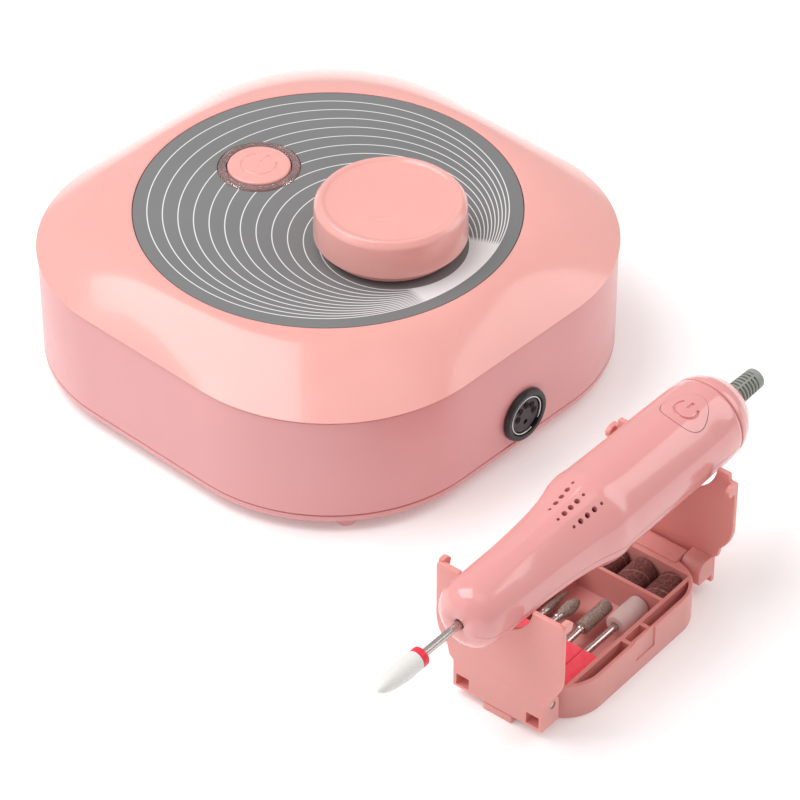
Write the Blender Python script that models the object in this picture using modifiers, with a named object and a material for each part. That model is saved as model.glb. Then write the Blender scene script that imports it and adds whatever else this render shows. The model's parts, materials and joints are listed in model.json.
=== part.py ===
"""Electric nail drill set: control unit, handpiece and bit case, modelled as separate solids.

Units are metres, +Z is up. The control unit's socket side faces -Y. The bit case stands in front of the
unit with both flaps open, and the handpiece lies on the flaps with its nose towards -X.
"""

import math

import bmesh
import bpy
from mathutils import Matrix, Vector

MM = 0.001
GAP = 0.3 * MM  # clearance between touching pieces

# --- places in the set; the origin is the middle of the whole set's footprint -------------------------
UNIT_AT = Vector((29.7, 46.3, 0)) * MM  # middle of the control unit
CASE_AT = UNIT_AT + Vector((-48.0, -148.3, 0)) * MM  # middle of the bit case
CASE_YAW = math.radians(4)

# --- control unit -------------------------------------------------------------------------------------
UNIT_HALF = 80 * MM  # half the side of the rounded square at the cover's rim
UNIT_CORNER = 55 * MM
WALL = 2.2 * MM
WALL_OUT = UNIT_HALF - 0.4 * MM  # the side wall stands just inside the cover's rim
BASE_Z = 3 * MM  # underside of the base plate
SEAM_Z = 6.2 * MM  # joint between base plate and side wall
RIM_Z = 42.5 * MM  # joint between side wall and cover
PANEL_R = 60.1 * MM
PANEL_TOP = 54.5 * MM
PANEL_T = 1.2 * MM
RING_STEPS = 48  # points round each lofted section

KNOB_Y = -26.4 * MM
KNOB_R = 23.7 * MM
KNOB_H = 12.5 * MM
KNOB_LIFT = 3.6 * MM  # from the faceplate to the skirt
BUTTON_Y = 29.8 * MM
BUTTON_R = 9.95 * MM
BUTTON_TRAVEL = 1.5 * MM
LIGHT_RING_R = 12.9 * MM
SOCKET_X = 1.6 * MM
SOCKET_Z = 15.8 * MM
SOCKET_R = 9.1 * MM
INLET_X = -17 * MM
INLET_Z = 17 * MM
BOSS_XY = 52 * MM  # cover bosses and their screws
FOOT_AT = (57.5 * MM, 61.5 * MM)
BOARD_Z = 14 * MM

# --- handpiece, measured along its own axis from the nose ---------------------------------------------
HP_NOSE = UNIT_AT + Vector((-106.0, -150.6, 45.9)) * MM
HP_TILT = math.radians(1.2)  # the thicker rear end lies higher on its flap
HP_YAW = math.radians(2.5)
HP_ROLL = math.radians(10)  # turned on its cradle, away from the control unit
HP_SEAM = 112.5 * MM  # joint between shells and end cap
HP_BUTTON_T = 99.3 * MM
CORD_END_T = 137 * MM  # free end of the cord sleeve
SHANK_R = 1.175 * MM  # 3/32 inch shank

# --- bit case, measured from the middle of its floor --------------------------------------------------
TRAY_HALF_L = 33.4 * MM
TRAY_HALF_W = 20.4 * MM
TRAY_CORNER = 13.5 * MM
TRAY_H = 12.3 * MM
FLOOR_T = 1.6 * MM
BAY_HALF_W = 15 * MM
CHANNEL_IN = 16.2 * MM
CHANNEL_OUT = 19.1 * MM
BAY_END = 29.6 * MM
DIVIDER_U = 15.7 * MM
DIVIDER_T = 1.2 * MM
PIN_U = 36.6 * MM
PIN_Z = 10.2 * MM
PIN_R = 1.0 * MM
PIN_HOLE_R = 1.3 * MM
FLAP_T = 1.6 * MM
FLAP_OUT = 5 * MM  # from the pin to the flap's outer face
FLAP_HALF_W = 22.3 * MM
FLAP_REACH = 36.3 * MM  # from the pin to the flap's free edge
FLAP_BOTTOM = 7.2 * MM  # from the pin down to the flap's lower edge
LUG_IN = 9.0 * MM
LUG_OUT = 16.0 * MM
HOOK_IN = 17 * MM
HOOK_OUT = 18.7 * MM
FRONT_NOTCH = (-1.4 * MM, 37.7 * MM, 13 * MM)  # cradle notch: across, above the pin, radius
REAR_NOTCH = (-0.8 * MM, 37.9 * MM, 14.9 * MM)


# ------------------------------------------------------------------------------------------------------
# Helpers
# ------------------------------------------------------------------------------------------------------
def clear_scene():
    for obj in list(bpy.data.objects):
        bpy.data.objects.remove(obj)


def make_collection(name):
    made = bpy.data.collections.new(name)
    bpy.context.scene.collection.children.link(made)
    return made


def material(name, rgb, roughness, metallic=0.0):
    made = bpy.data.materials.new(name)
    made.use_nodes = True
    shader = made.node_tree.nodes["Principled BSDF"]
    shader.inputs["Base Color"].default_value = (*rgb, 1)
    shader.inputs["Roughness"].default_value = roughness
    shader.inputs["Metallic"].default_value = metallic
    made.diffuse_color = (*rgb, 1)
    return made


def empty(name, location, rotation=(0, 0, 0), parent=None):
    made = bpy.data.objects.new(name, None)
    PARTS.objects.link(made)
    made.location = location
    made.rotation_euler = rotation
    made.parent = parent
    return made


def place(obj, parent=None, location=(0, 0, 0), rotation=(0, 0, 0)):
    obj.parent = parent
    obj.location = location
    obj.rotation_euler = rotation
    return obj


def from_bmesh(name, bm, mat=None, collection=None):
    mesh = bpy.data.meshes.new(name)
    bmesh.ops.recalc_face_normals(bm, faces=bm.faces)
    bm.to_mesh(mesh)
    bm.free()
    made = bpy.data.objects.new(name, mesh)
    (collection or PARTS).objects.link(made)
    if mat:
        mesh.materials.append(mat)
        mesh.shade_smooth()
        mesh.set_sharp_from_angle(angle=math.radians(35))
    return made


def box(name, low, high, mat=None, collection=None):
    """A box between two corners."""
    low, high = Vector(low), Vector(high)
    bm = bmesh.new()
    bmesh.ops.create_cube(bm, size=1)
    bmesh.ops.scale(bm, vec=high - low, verts=bm.verts)
    bmesh.ops.translate(bm, vec=(low + high) / 2, verts=bm.verts)
    return from_bmesh(name, bm, mat, collection)


def rod(name, radius, z0, z1, mat=None, collection=None, segments=24, top_radius=None):
    """A cylinder or cone along Z."""
    bm = bmesh.new()
    bmesh.ops.create_cone(
        bm, cap_ends=True, segments=segments, radius1=radius,
        radius2=radius if top_radius is None else top_radius, depth=z1 - z0,
    )
    bmesh.ops.translate(bm, vec=(0, 0, (z0 + z1) / 2), verts=bm.verts)
    return from_bmesh(name, bm, mat, collection)


def turned(name, profile, mat=None, collection=None, steps=24, closed=False):
    """A profile of (radius, height) pairs, down its outer side, turned about Z."""
    mesh = bpy.data.meshes.new(name)
    points = [(r, 0, z) for r, z in profile]
    edges = [(i, i + 1) for i in range(len(points) - 1)]
    if closed:
        edges.append((len(points) - 1, 0))
    mesh.from_pydata(points, edges, [])
    made = bpy.data.objects.new(name, mesh)
    (collection or PARTS).objects.link(made)
    screw = made.modifiers.new("turn", "SCREW")
    screw.steps = steps
    screw.render_steps = steps
    screw.use_merge_vertices = True
    screw.merge_threshold = 0.00001
    if mat:
        mesh.materials.append(mat)
    return made


def prism(name, outlines, z0, z1, mat=None, collection=None):
    """A flat outline, with the holes inside it, between two heights."""
    curve = bpy.data.curves.new(name, "CURVE")
    curve.dimensions = "2D"
    curve.fill_mode = "BOTH"
    curve.extrude = (z1 - z0) / 2
    for outline in outlines:
        spline = curve.splines.new("POLY")
        spline.points.add(len(outline) - 1)
        for point, (x, y) in zip(spline.points, outline):
            point.co = (x, y, 0, 1)
        spline.use_cyclic_u = True
    rough = bpy.data.objects.new(name + "_outline", curve)
    (collection or PARTS).objects.link(rough)
    bpy.context.view_layer.update()
    graph = bpy.context.evaluated_depsgraph_get()
    mesh = bpy.data.meshes.new_from_object(rough.evaluated_get(graph))
    bpy.data.objects.remove(rough)
    bm = bmesh.new()
    bm.from_mesh(mesh)
    bmesh.ops.translate(bm, vec=(0, 0, (z0 + z1) / 2), verts=bm.verts)
    bmesh.ops.remove_doubles(bm, verts=bm.verts, dist=0.000002)
    return from_bmesh(name, bm, mat, collection)


def loft(name, rings, mat, closed=False):
    """Sections with the same number of points, joined in order. Open lofts get a cap at each end."""
    bm = bmesh.new()
    loops = [[bm.verts.new(p) for p in ring] for ring in rings]
    count = len(loops[0])
    pairs = list(zip(loops, loops[1:]))
    if closed:
        pairs.append((loops[-1], loops[0]))
    for a, b in pairs:
        for i in range(count):
            j = (i + 1) % count
            bm.faces.new((a[i], a[j], b[j], b[i]))
    if not closed:
        bm.faces.new(loops[0])
        bm.faces.new(loops[-1])
    return from_bmesh(name, bm, mat)


def modify(target, tool, operation, tool_is_cutter=True):
    """A Boolean of two objects; the tool is kept as a hidden helper."""
    cut = target.modifiers.new(tool.name, "BOOLEAN")
    cut.operation = operation
    cut.object = tool
    cut.solver = "EXACT"
    if tool_is_cutter:
        tool.hide_render = True
        tool.display_type = "WIRE"
    return target


def arc(cx, cy, radius, start, end, steps):
    """Points on an arc, in degrees, both ends included."""
    points = []
    for i in range(steps + 1):
        a = math.radians(start + (end - start) * i / steps)
        points.append((cx + radius * math.cos(a), cy + radius * math.sin(a)))
    return points


def circle(cx, cy, radius, steps=32):
    return arc(cx, cy, radius, 0, 360 * (steps - 1) / steps, steps - 1)


def square_radius(angle, half, corner):
    """Distance from the middle to a rounded square's edge in one direction."""
    c, s = abs(math.cos(angle)), abs(math.sin(angle))
    if c < s:
        c, s = s, c
    straight = half - corner
    if half * s / c <= straight:
        return half / c
    b = straight * (c + s)
    return b + math.sqrt(b * b - 2 * straight * straight + corner * corner)


def blend_ring(z, share, half, round_r=PANEL_R, corner=UNIT_CORNER):
    """A section between a circle (share 0) and a rounded square (share 1)."""
    ring = []
    for i in range(RING_STEPS):
        a = 2 * math.pi * (i + 0.5) / RING_STEPS
        r = (1 - share) * round_r + share * square_radius(a, half, corner)
        ring.append((r * math.cos(a), r * math.sin(a), z))
    return ring


def rounded_box_outline(half_u, half_v, corner, steps=7):
    """Rounded rectangle, anticlockwise."""
    points = []
    for sx, sy, start in ((1, 1, 0), (-1, 1, 90), (-1, -1, 180), (1, -1, 270)):
        points += arc(sx * (half_u - corner), sy * (half_v - corner), corner, start, start + 90, steps)
    return points


# ------------------------------------------------------------------------------------------------------
# Control unit
# ------------------------------------------------------------------------------------------------------
def top_cover(unit):
    """Sloping glossy cover: round at the panel, a rounded square at its rim."""
    rise = PANEL_TOP - RIM_Z
    seat = PANEL_R + GAP
    shares = (1.0, 0.72, 0.4, 0.0)
    outer = [blend_ring(RIM_Z + rise * (1 - s**1.5), s, UNIT_HALF, seat + 0.6 * MM) for s in shares]
    lip = [blend_ring(PANEL_TOP, 0, UNIT_HALF, seat)]
    seat_floor = [blend_ring(PANEL_TOP - PANEL_T - GAP, 0, UNIT_HALF, seat)]
    ceiling = PANEL_TOP - PANEL_T - GAP - WALL
    inner_shares = (0.0, 0.5, 1.0)
    inner = [
        blend_ring(ceiling + (RIM_Z - ceiling) * s**1.5, s, UNIT_HALF - WALL, seat - 3 * MM,
                   UNIT_CORNER - WALL)
        for s in inner_shares
    ]
    cover = loft("top_cover", inner + outer + lip + seat_floor, PINK_GLOSS)
    place(cover, unit)
    for i, (sx, sy) in enumerate(((1, 1), (-1, 1), (-1, -1), (1, -1))):
        boss = rod(f"boss_{i}", 3.6 * MM, 8 * MM, RIM_Z + 6 * MM, collection=CUTTERS, segments=16)
        place(boss, unit, (sx * BOSS_XY, sy * BOSS_XY, 0))
        modify(cover, boss, "UNION")
        hole = rod(f"boss_hole_{i}", 1.6 * MM, 7 * MM, 20 * MM, collection=CUTTERS, segments=12)
        place(hole, unit, (sx * BOSS_XY, sy * BOSS_XY, 0))
        modify(cover, hole, "DIFFERENCE")
    for name, y, r in (("pot_hole", KNOB_Y, 5 * MM), ("ring_hole", BUTTON_Y, LIGHT_RING_R + GAP)):
        hole = rod(name, r, RIM_Z + 2 * MM, PANEL_TOP + 2 * MM, collection=CUTTERS, segments=32)
        place(hole, unit, (0, y, 0))
        modify(cover, hole, "DIFFERENCE")


def side_shell(unit):
    """Upright wall with the handpiece socket in front and the power inlet behind."""
    low, high = SEAM_Z + GAP, RIM_Z - GAP
    inside = WALL_OUT - WALL
    rings = [
        blend_ring(low, 1, WALL_OUT),
        blend_ring(high, 1, WALL_OUT),
        blend_ring(high, 1, inside, corner=UNIT_CORNER - WALL),
        blend_ring(low, 1, inside, corner=UNIT_CORNER - WALL),
    ]
    wall = loft("side_shell", rings, PINK_SHELL, closed=True)
    place(wall, unit)
    holes = (
        ("socket_hole", SOCKET_X, -WALL_OUT, SOCKET_Z, 7.9 * MM + GAP),
        ("inlet_hole", INLET_X, WALL_OUT, INLET_Z, 4.3 * MM),
    )
    for name, x, y, z, r in holes:
        hole = rod(name, r, -8 * MM, 8 * MM, collection=CUTTERS, segments=32)
        place(hole, unit, (x, y, z), (math.pi / 2, 0, 0))
        modify(wall, hole, "DIFFERENCE")


def base_plate(unit):
    """Shallow tray with a rounded lower edge, board posts and screw holes."""
    edge = 3.2 * MM
    rings = [
        blend_ring(BASE_Z, 1, WALL_OUT - edge, corner=UNIT_CORNER - edge),
        blend_ring(BASE_Z + 0.9 * MM, 1, WALL_OUT - 1.0 * MM, corner=UNIT_CORNER - 1 * MM),
        blend_ring(BASE_Z + 2.2 * MM, 1, WALL_OUT),
        blend_ring(SEAM_Z, 1, WALL_OUT),
        blend_ring(SEAM_Z, 1, WALL_OUT - WALL, corner=UNIT_CORNER - WALL),
        blend_ring(BASE_Z + 2 * MM, 1, WALL_OUT - WALL - 1 * MM, corner=UNIT_CORNER - WALL - 1 * MM),
    ]
    plate = loft("base_plate", rings, PINK_SHELL)
    place(plate, unit)
    for i, (sx, sy) in enumerate(((1, 1), (-1, 1), (-1, -1), (1, -1))):
        post = rod(f"post_{i}", 3 * MM, BASE_Z + 1 * MM, BOARD_Z - GAP, collection=CUTTERS, segments=12)
        place(post, unit, (sx * 42 * MM, sy * 32 * MM, 0))
        modify(plate, post, "UNION")
        hole = rod(f"screw_hole_{i}", 1.9 * MM, 0, 9 * MM, collection=CUTTERS, segments=12)
        place(hole, unit, (sx * BOSS_XY, sy * BOSS_XY, 0))
        modify(plate, hole, "DIFFERENCE")


def feet_and_screws(unit):
    for i, (sx, sy) in enumerate(((1, 1), (-1, 1), (-1, -1), (1, -1)), start=1):
        foot = rod(f"foot_{i}", 3.0 * MM, 0, BASE_Z - GAP, PINK_SHELL, segments=24, top_radius=3.7 * MM)
        place(foot, unit, (sx * FOOT_AT[0], sy * FOOT_AT[1], 0))
        head, top = BASE_Z - GAP, 18 * MM
        profile = [
            (0, top), (1.2 * MM, top - 1.5 * MM), (1.2 * MM, head), (2.9 * MM, head),
            (2.4 * MM, head - 1.2 * MM), (0, head - 1.5 * MM),
        ]
        screw = turned(f"cover_screw_{i}", profile, STEEL, steps=12)
        place(screw, unit, (sx * BOSS_XY, sy * BOSS_XY, 0))


def panel_disc(unit):
    """Thin printed faceplate."""
    outlines = [
        circle(0, 0, PANEL_R, 48),
        circle(0, KNOB_Y, 5 * MM, 20),
        circle(0, BUTTON_Y, LIGHT_RING_R + GAP, 32),
    ]
    place(prism("panel_disc", outlines, PANEL_TOP - PANEL_T, PANEL_TOP, PANEL_GREY), unit)


def power_button(unit):
    """Button, its clear light ring, and the small board with the switch below."""
    axis = empty("power_button_axis", (0, BUTTON_Y, 0), parent=unit)
    top = PANEL_TOP + 0.9 * MM
    board_top = PANEL_TOP - 9 * MM
    switch_top = board_top + 4 * MM
    foot_z = switch_top + BUTTON_TRAVEL + GAP
    profile = [
        (0, top + 0.3 * MM), (6 * MM, top + 0.15 * MM), (BUTTON_R - 0.6 * MM, top),
        (BUTTON_R, top - 0.7 * MM), (BUTTON_R, foot_z), (0, foot_z),
    ]
    place(turned("power_button", profile, PINK_GLOSS), axis)
    ring_in = BUTTON_R + 0.4 * MM
    ring = [
        (ring_in, PANEL_TOP + 0.5 * MM), (LIGHT_RING_R - 0.4 * MM, PANEL_TOP + 0.5 * MM),
        (LIGHT_RING_R, PANEL_TOP + 0.2 * MM), (LIGHT_RING_R, board_top + GAP), (ring_in, board_top + GAP),
    ]
    place(turned("light_ring", ring, CLEAR_PLASTIC, closed=True), axis)
    place(rod("led_board", 17 * MM, board_top - 1.6 * MM, board_top, BOARD_GREEN), axis)
    switch = prism("power_switch", [rounded_box_outline(3 * MM, 3 * MM, 0.5 * MM, 1)], board_top + GAP,
                   board_top + 3 * MM, BLACK_PLASTIC)
    place(switch, axis)
    plunger = rod("switch_plunger", 1.7 * MM, board_top + 2 * MM, switch_top, collection=CUTTERS, segments=12)
    place(plunger, axis)
    modify(switch, plunger, "UNION")


def speed_control(unit):
    """Speed knob on a panel potentiometer."""
    axis = empty("knob_axis", (0, KNOB_Y, 0), parent=unit)
    foot = PANEL_TOP + 0.6 * MM
    low = PANEL_TOP + KNOB_LIFT
    top = low + KNOB_H
    hub = foot + 4 * MM
    profile = [
        (0, top - 1.3 * MM), (10 * MM, top - 1.1 * MM), (17 * MM, top - 0.6 * MM),
        (20.2 * MM, top - 0.1 * MM), (21.4 * MM, top), (22.6 * MM, top - 0.6 * MM),
        (23.2 * MM, top - 1.8 * MM), (23.4 * MM, top - 4 * MM),
        (KNOB_R, low + 0.4 * MM), (KNOB_R - 0.4 * MM, low), (21.2 * MM, low), (20.8 * MM, foot),
        (18.8 * MM, foot), (18.8 * MM, top - 4.2 * MM), (7.5 * MM, top - 4.2 * MM), (6.5 * MM, hub),
        (3.3 * MM, hub), (3.3 * MM, top - 3 * MM), (0, top - 3 * MM),
    ]
    place(turned("speed_knob", profile, PINK_GLOSS, steps=32), axis)
    shaft_top = top - 3 * MM - GAP
    place(rod("pot_shaft", 3 * MM, 45 * MM, shaft_top, ALUMINIUM, segments=16), axis)
    body = [
        (3.3 * MM, hub - GAP), (4.5 * MM, hub - GAP), (4.5 * MM, 50.4 * MM), (8.3 * MM, 50.4 * MM),
        (8.3 * MM, 41 * MM), (0, 41 * MM), (0, 45 * MM - GAP), (3.3 * MM, 45 * MM - GAP),
    ]
    place(turned("pot_body", body, ALUMINIUM, steps=16, closed=True), axis)
    nut = prism("pot_nut", [circle(0, 0, 6.4 * MM, 6), circle(0, 0, 4.8 * MM, 16)], PANEL_TOP + GAP,
                PANEL_TOP + 2.6 * MM, STEEL)
    place(nut, axis)


def handpiece_socket(unit):
    """Round five-pin socket. Its frame's Z points out of the front wall."""
    frame = empty("socket_frame", (SOCKET_X, -WALL_OUT, SOCKET_Z), (math.pi / 2, 0, 0), unit)
    face = 2.3 * MM
    bore = 6.9 * MM
    barrel = 7.9 * MM
    floor = -6 * MM
    back = -12 * MM
    body = [
        (0, floor), (bore, floor), (bore, face - 0.3 * MM), (bore + 0.3 * MM, face),
        (SOCKET_R - 0.6 * MM, face), (SOCKET_R, face - 0.6 * MM), (SOCKET_R, GAP), (barrel, GAP),
        (barrel, back), (0, back),
    ]
    place(turned("socket_housing", body, BLACK_PLASTIC), frame)
    pin_circle = 3.5 * MM
    holes = [circle(0, 0, 5.7 * MM, 32)]
    for angle in (0, 45, 90, 135, 180):
        a = math.radians(angle)
        holes.append(circle(pin_circle * math.cos(a), pin_circle * math.sin(a), 0.9 * MM, 8))
    place(prism("socket_insert", holes, floor + GAP, -0.4 * MM, BLACK_PLASTIC), frame)
    keyway = 14  # half the shield's opening, in degrees
    shield = arc(0, 0, 6.55 * MM, -90 + keyway, 270 - keyway, 28)
    shield += arc(0, 0, 6.1 * MM, 270 - keyway, -90 + keyway, 28)
    place(prism("socket_shield", [shield], floor + GAP, face - 0.8 * MM, STEEL), frame)
    nut = prism("socket_nut", [circle(0, 0, 10.2 * MM, 6), circle(0, 0, barrel + GAP, 24)],
                -WALL - GAP - 3 * MM, -WALL - GAP, STEEL)
    place(nut, frame)


def power_inlet(unit):
    """Low-voltage jack in the back wall. Its frame's Z points out of the wall."""
    frame = empty("inlet_frame", (INLET_X, WALL_OUT, INLET_Z), (-math.pi / 2, 0, 0), unit)
    jack = [
        (0, 0.5 * MM), (0.7 * MM, 0.5 * MM), (1.0 * MM, 0), (1.0 * MM, -7 * MM), (2.9 * MM, -7 * MM),
        (2.9 * MM, 1.3 * MM), (5.4 * MM, 1.3 * MM), (5.6 * MM, GAP), (4.0 * MM, GAP), (4.0 * MM, -11 * MM),
        (0, -11 * MM),
    ]
    place(turned("power_inlet", jack, BLACK_PLASTIC, steps=16), frame)
    nut = prism("inlet_nut", [circle(0, 0, 6.2 * MM, 6), circle(0, 0, 4.3 * MM, 16)], -WALL - GAP - 2 * MM,
                -WALL - GAP, STEEL)
    place(nut, frame)


def electronics(unit):
    """Driver board with its heat sink and two capacitors."""
    board_top = BOARD_Z + 1.6 * MM
    board = box("main_board", (-48 * MM, -38 * MM, BOARD_Z), (48 * MM, 38 * MM, board_top), BOARD_GREEN)
    place(board, unit)
    fins = [(-16 * MM, 0), (16 * MM, 0), (16 * MM, 16 * MM)]
    for i in range(5):
        right = 16 * MM - i * 7 * MM
        fins += [(right - 2 * MM, 16 * MM), (right - 2 * MM, 3 * MM)]
        if i < 4:
            fins += [(right - 7 * MM, 3 * MM), (right - 7 * MM, 16 * MM)]
    fins[-1] = (-14 * MM, 3 * MM)
    fins += [(-16 * MM, 3 * MM)]
    sink = prism("heat_sink", [fins], -11 * MM, 11 * MM, ALUMINIUM)
    place(sink, unit, (22 * MM, 10 * MM, board_top + GAP), (math.pi / 2, 0, 0))
    for i, x in enumerate((-34 * MM, -18 * MM), start=1):
        can = turned(f"capacitor_{i}", [(0, 20 * MM), (5.6 * MM, 20 * MM), (6.2 * MM, 19.4 * MM),
                                        (6.2 * MM, 0.6 * MM), (5.6 * MM, 0), (0, 0)], BLACK_PLASTIC, steps=20)
        place(can, unit, (x, 18 * MM, board_top + GAP))


# ------------------------------------------------------------------------------------------------------
# Handpiece; in its frame +Z runs from nose to cord end and -X is the upper side
# ------------------------------------------------------------------------------------------------------
HP_OUTLINE = (  # (distance from nose, radius) in millimetres
    (1.2, 1.9), (0.4, 3.3), (0.0, 4.6), (1.0, 7.0), (2.6, 9.0), (5.0, 10.0), (8.0, 10.4), (14.0, 10.6),
    (25.0, 10.75), (36.0, 11.4), (42.0, 12.0), (47.0, 12.75), (50.0, 13.4), (54.0, 14.4), (57.0, 14.7),
    (61.0, 14.4), (76.0, 14.15), (90.0, 14.05), (100.0, 13.9), (108.0, 13.7), (112.5, 13.3),
)


def handpiece_shell_cutter(name, upper):
    """Half space that keeps only the upper or the lower shell."""
    side = -1 if upper else 1
    near, far = sorted((side * GAP / 2, side * -25 * MM))
    return box(name, (near, -25 * MM, -5 * MM), (far, 25 * MM, 125 * MM), collection=CUTTERS)


def handpiece_shells(hp):
    outer = [(r * MM, t * MM) for t, r in reversed(HP_OUTLINE)]
    inner_points = ((2.8, 1.9), (3.6, 6.8), (6.5, 8.6), (25.0, 9.2), (36.0, 9.8), (46.0, 10.9), (55.0, 12.7),
                    (62.0, 12.7), (90.0, 12.4), (112.5, 11.8))
    inner = [(r * MM, t * MM) for t, r in inner_points]
    shells = {}
    for name, upper in (("upper_shell", True), ("lower_shell", False)):
        shell = place(turned(name, outer + inner, PINK_GLOSS, steps=28, closed=True), hp)
        cutter = place(handpiece_shell_cutter(name + "_cutter", upper), hp)
        modify(shell, cutter, "DIFFERENCE")
        shells[name] = shell
    opening = prism("button_opening", [button_outline(GAP)], 6 * MM, 20 * MM, collection=CUTTERS)
    place(opening, hp, (0, 0, HP_BUTTON_T), (0, -math.pi / 2, 0))
    modify(shells["upper_shell"], opening, "DIFFERENCE")
    sizes = (0.5, 0.85, 0.85, 0.85, 0.5)
    for row, (turn, start) in enumerate(((-22, 43.2), (0, 41.3), (22, 43.2))):
        for i, size in enumerate(sizes):
            vent = rod(f"vent_{row}_{i}", size * MM, 6 * MM, 20 * MM, collection=CUTTERS, segments=6)
            pivot = Matrix.Rotation(math.radians(turn), 4, "Z") @ Matrix.Rotation(-math.pi / 2, 4, "Y")
            vent.matrix_local = Matrix.Translation((0, 0, (start + 2.7 * i) * MM)) @ pivot
            vent.parent = hp
            modify(shells["upper_shell"], vent, "DIFFERENCE")


def button_outline(grow):
    """Rounded triangle, its broad point towards the cord end; x is along the handpiece."""
    points = []
    for cx, cy, radius, start, end in (
        (1.2 * MM, 0, 5.2 * MM, -57, 57), (-1.5 * MM, 3.4 * MM, 3.8 * MM, 57, 180),
        (-1.5 * MM, -3.4 * MM, 3.8 * MM, 180, 303),
    ):
        points += arc(cx, cy, radius + grow, start, end, 7)
    return points


def handpiece_button(hp):
    """Curved button cap over the switch."""
    axis = empty("handpiece_button_axis", (0, 0, HP_BUTTON_T), (0, -math.pi / 2, 0), hp)
    button = place(prism("handpiece_button", [button_outline(0)], 9 * MM, 16 * MM, PINK_GLOSS), axis)
    for name, radius, operation in (
        ("button_skin", 14.25 * MM, "INTERSECT"), ("button_hollow", 12.4 * MM, "DIFFERENCE"),
    ):
        drum = rod(name, radius, -14 * MM, 14 * MM, collection=CUTTERS, segments=64)
        place(drum, axis, (0, 0, 0), (0, math.pi / 2, 0))
        modify(button, drum, operation)
    switch = box("handpiece_switch", (-7 * MM, -3.5 * MM, 9.2 * MM), (7 * MM, 3.5 * MM, 11 * MM), BOARD_GREEN)
    place(switch, axis)


def handpiece_rear(hp):
    """End cap and the ribbed cord sleeve."""
    t0 = HP_SEAM + GAP
    cap = [
        (4.0 * MM, 124.7 * MM), (5.2 * MM, 124.2 * MM), (7.6 * MM, 122.5 * MM), (9.9 * MM, 120 * MM),
        (11.2 * MM, 118.2 * MM), (12.2 * MM, 116 * MM), (12.9 * MM, 114.3 * MM), (13.2 * MM, t0),
        (11.7 * MM, t0), (11.4 * MM, 114.2 * MM), (10.7 * MM, 116 * MM), (9.6 * MM, 118 * MM),
        (8.3 * MM, 119.8 * MM), (6.3 * MM, 121.6 * MM), (4.0 * MM, 122.6 * MM),
    ]
    place(turned("end_cap", cap, PINK_GLOSS, closed=True), hp)
    sleeve = [
        (1.9 * MM, CORD_END_T), (2.7 * MM, CORD_END_T), (3.3 * MM, CORD_END_T - 0.6 * MM),
        (3.7 * MM, 121.8 * MM), (5.0 * MM, 121.8 * MM), (5.0 * MM, 120.6 * MM), (1.9 * MM, 120.6 * MM),
    ]
    place(turned("cord_sleeve", sleeve, SLEEVE_GREY, steps=16, closed=True), hp)


def handpiece_drive(hp):
    """Motor, fan, bearings and chuck, all on the handpiece's axis."""
    can = [
        (2.2 * MM, 86 * MM), (10.6 * MM, 86 * MM), (11.2 * MM, 85.4 * MM), (11.2 * MM, 58.6 * MM),
        (10.6 * MM, 58 * MM), (2.2 * MM, 58 * MM), (2.2 * MM, 59.4 * MM), (9.8 * MM, 59.4 * MM),
        (9.8 * MM, 84.6 * MM), (2.2 * MM, 84.6 * MM),
    ]
    place(turned("motor_can", can, STEEL, steps=18, closed=True), hp)
    rotor = [
        (0, 88.5 * MM), (1.5 * MM, 88.5 * MM), (1.5 * MM, 80 * MM), (8.6 * MM, 80 * MM), (8.6 * MM, 63 * MM),
        (1.5 * MM, 63 * MM), (1.5 * MM, 47.3 * MM), (0, 47.3 * MM),
    ]
    place(turned("motor_rotor", rotor, STEEL, steps=16), hp)
    blades = 9
    fan = []
    for i in range(blades):
        a = 360 / blades * i
        fan += arc(0, 0, 9.4 * MM, a, a + 18, 2) + arc(0, 0, 4 * MM, a + 24, a + 34, 1)
    place(prism("cooling_fan", [fan, circle(0, 0, 1.8 * MM, 12)], 51 * MM, 54 * MM, BLACK_PLASTIC), hp)
    chuck = [
        (0, 47 * MM), (4.2 * MM, 47 * MM), (4.2 * MM, 6 * MM), (3.2 * MM, 3.6 * MM), (1.5 * MM, 3.6 * MM),
        (1.5 * MM, 26 * MM), (0, 26 * MM),
    ]
    place(turned("chuck", chuck, STEEL, steps=18), hp)
    for name, t, r in (("front_bearing", 9 * MM, 8.3 * MM), ("rear_bearing", 38 * MM, 9.2 * MM)):
        ring = [circle(0, 0, r, 20), circle(0, 0, 4.5 * MM, 16)]
        place(prism(name, ring, t, t + 4 * MM, STEEL), hp)


def fitted_bit(hp):
    """Ceramic bullet bit with its red grit ring, pushed into the chuck."""
    bit = empty("bit_axis", (0, 0, 0), parent=hp)
    place(rod("bit_shank", SHANK_R, -24 * MM, 22 * MM, STEEL, segments=16), bit)
    ring = [circle(0, 0, 2.95 * MM, 24), circle(0, 0, SHANK_R + GAP, 16)]
    place(prism("bit_ring", ring, -17.4 * MM, -15.2 * MM, RING_RED), bit)
    head = [
        (SHANK_R + GAP, -17.7 * MM), (2.95 * MM, -17.7 * MM), (3.15 * MM, -20.5 * MM), (3.05 * MM, -25 * MM),
        (2.6 * MM, -29 * MM), (1.9 * MM, -31.8 * MM), (1.0 * MM, -33.2 * MM), (0, -33.5 * MM),
        (0, -24.3 * MM), (SHANK_R + GAP, -24.3 * MM),
    ]
    place(turned("bit_head", head, CERAMIC, steps=18, closed=True), bit)


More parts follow.
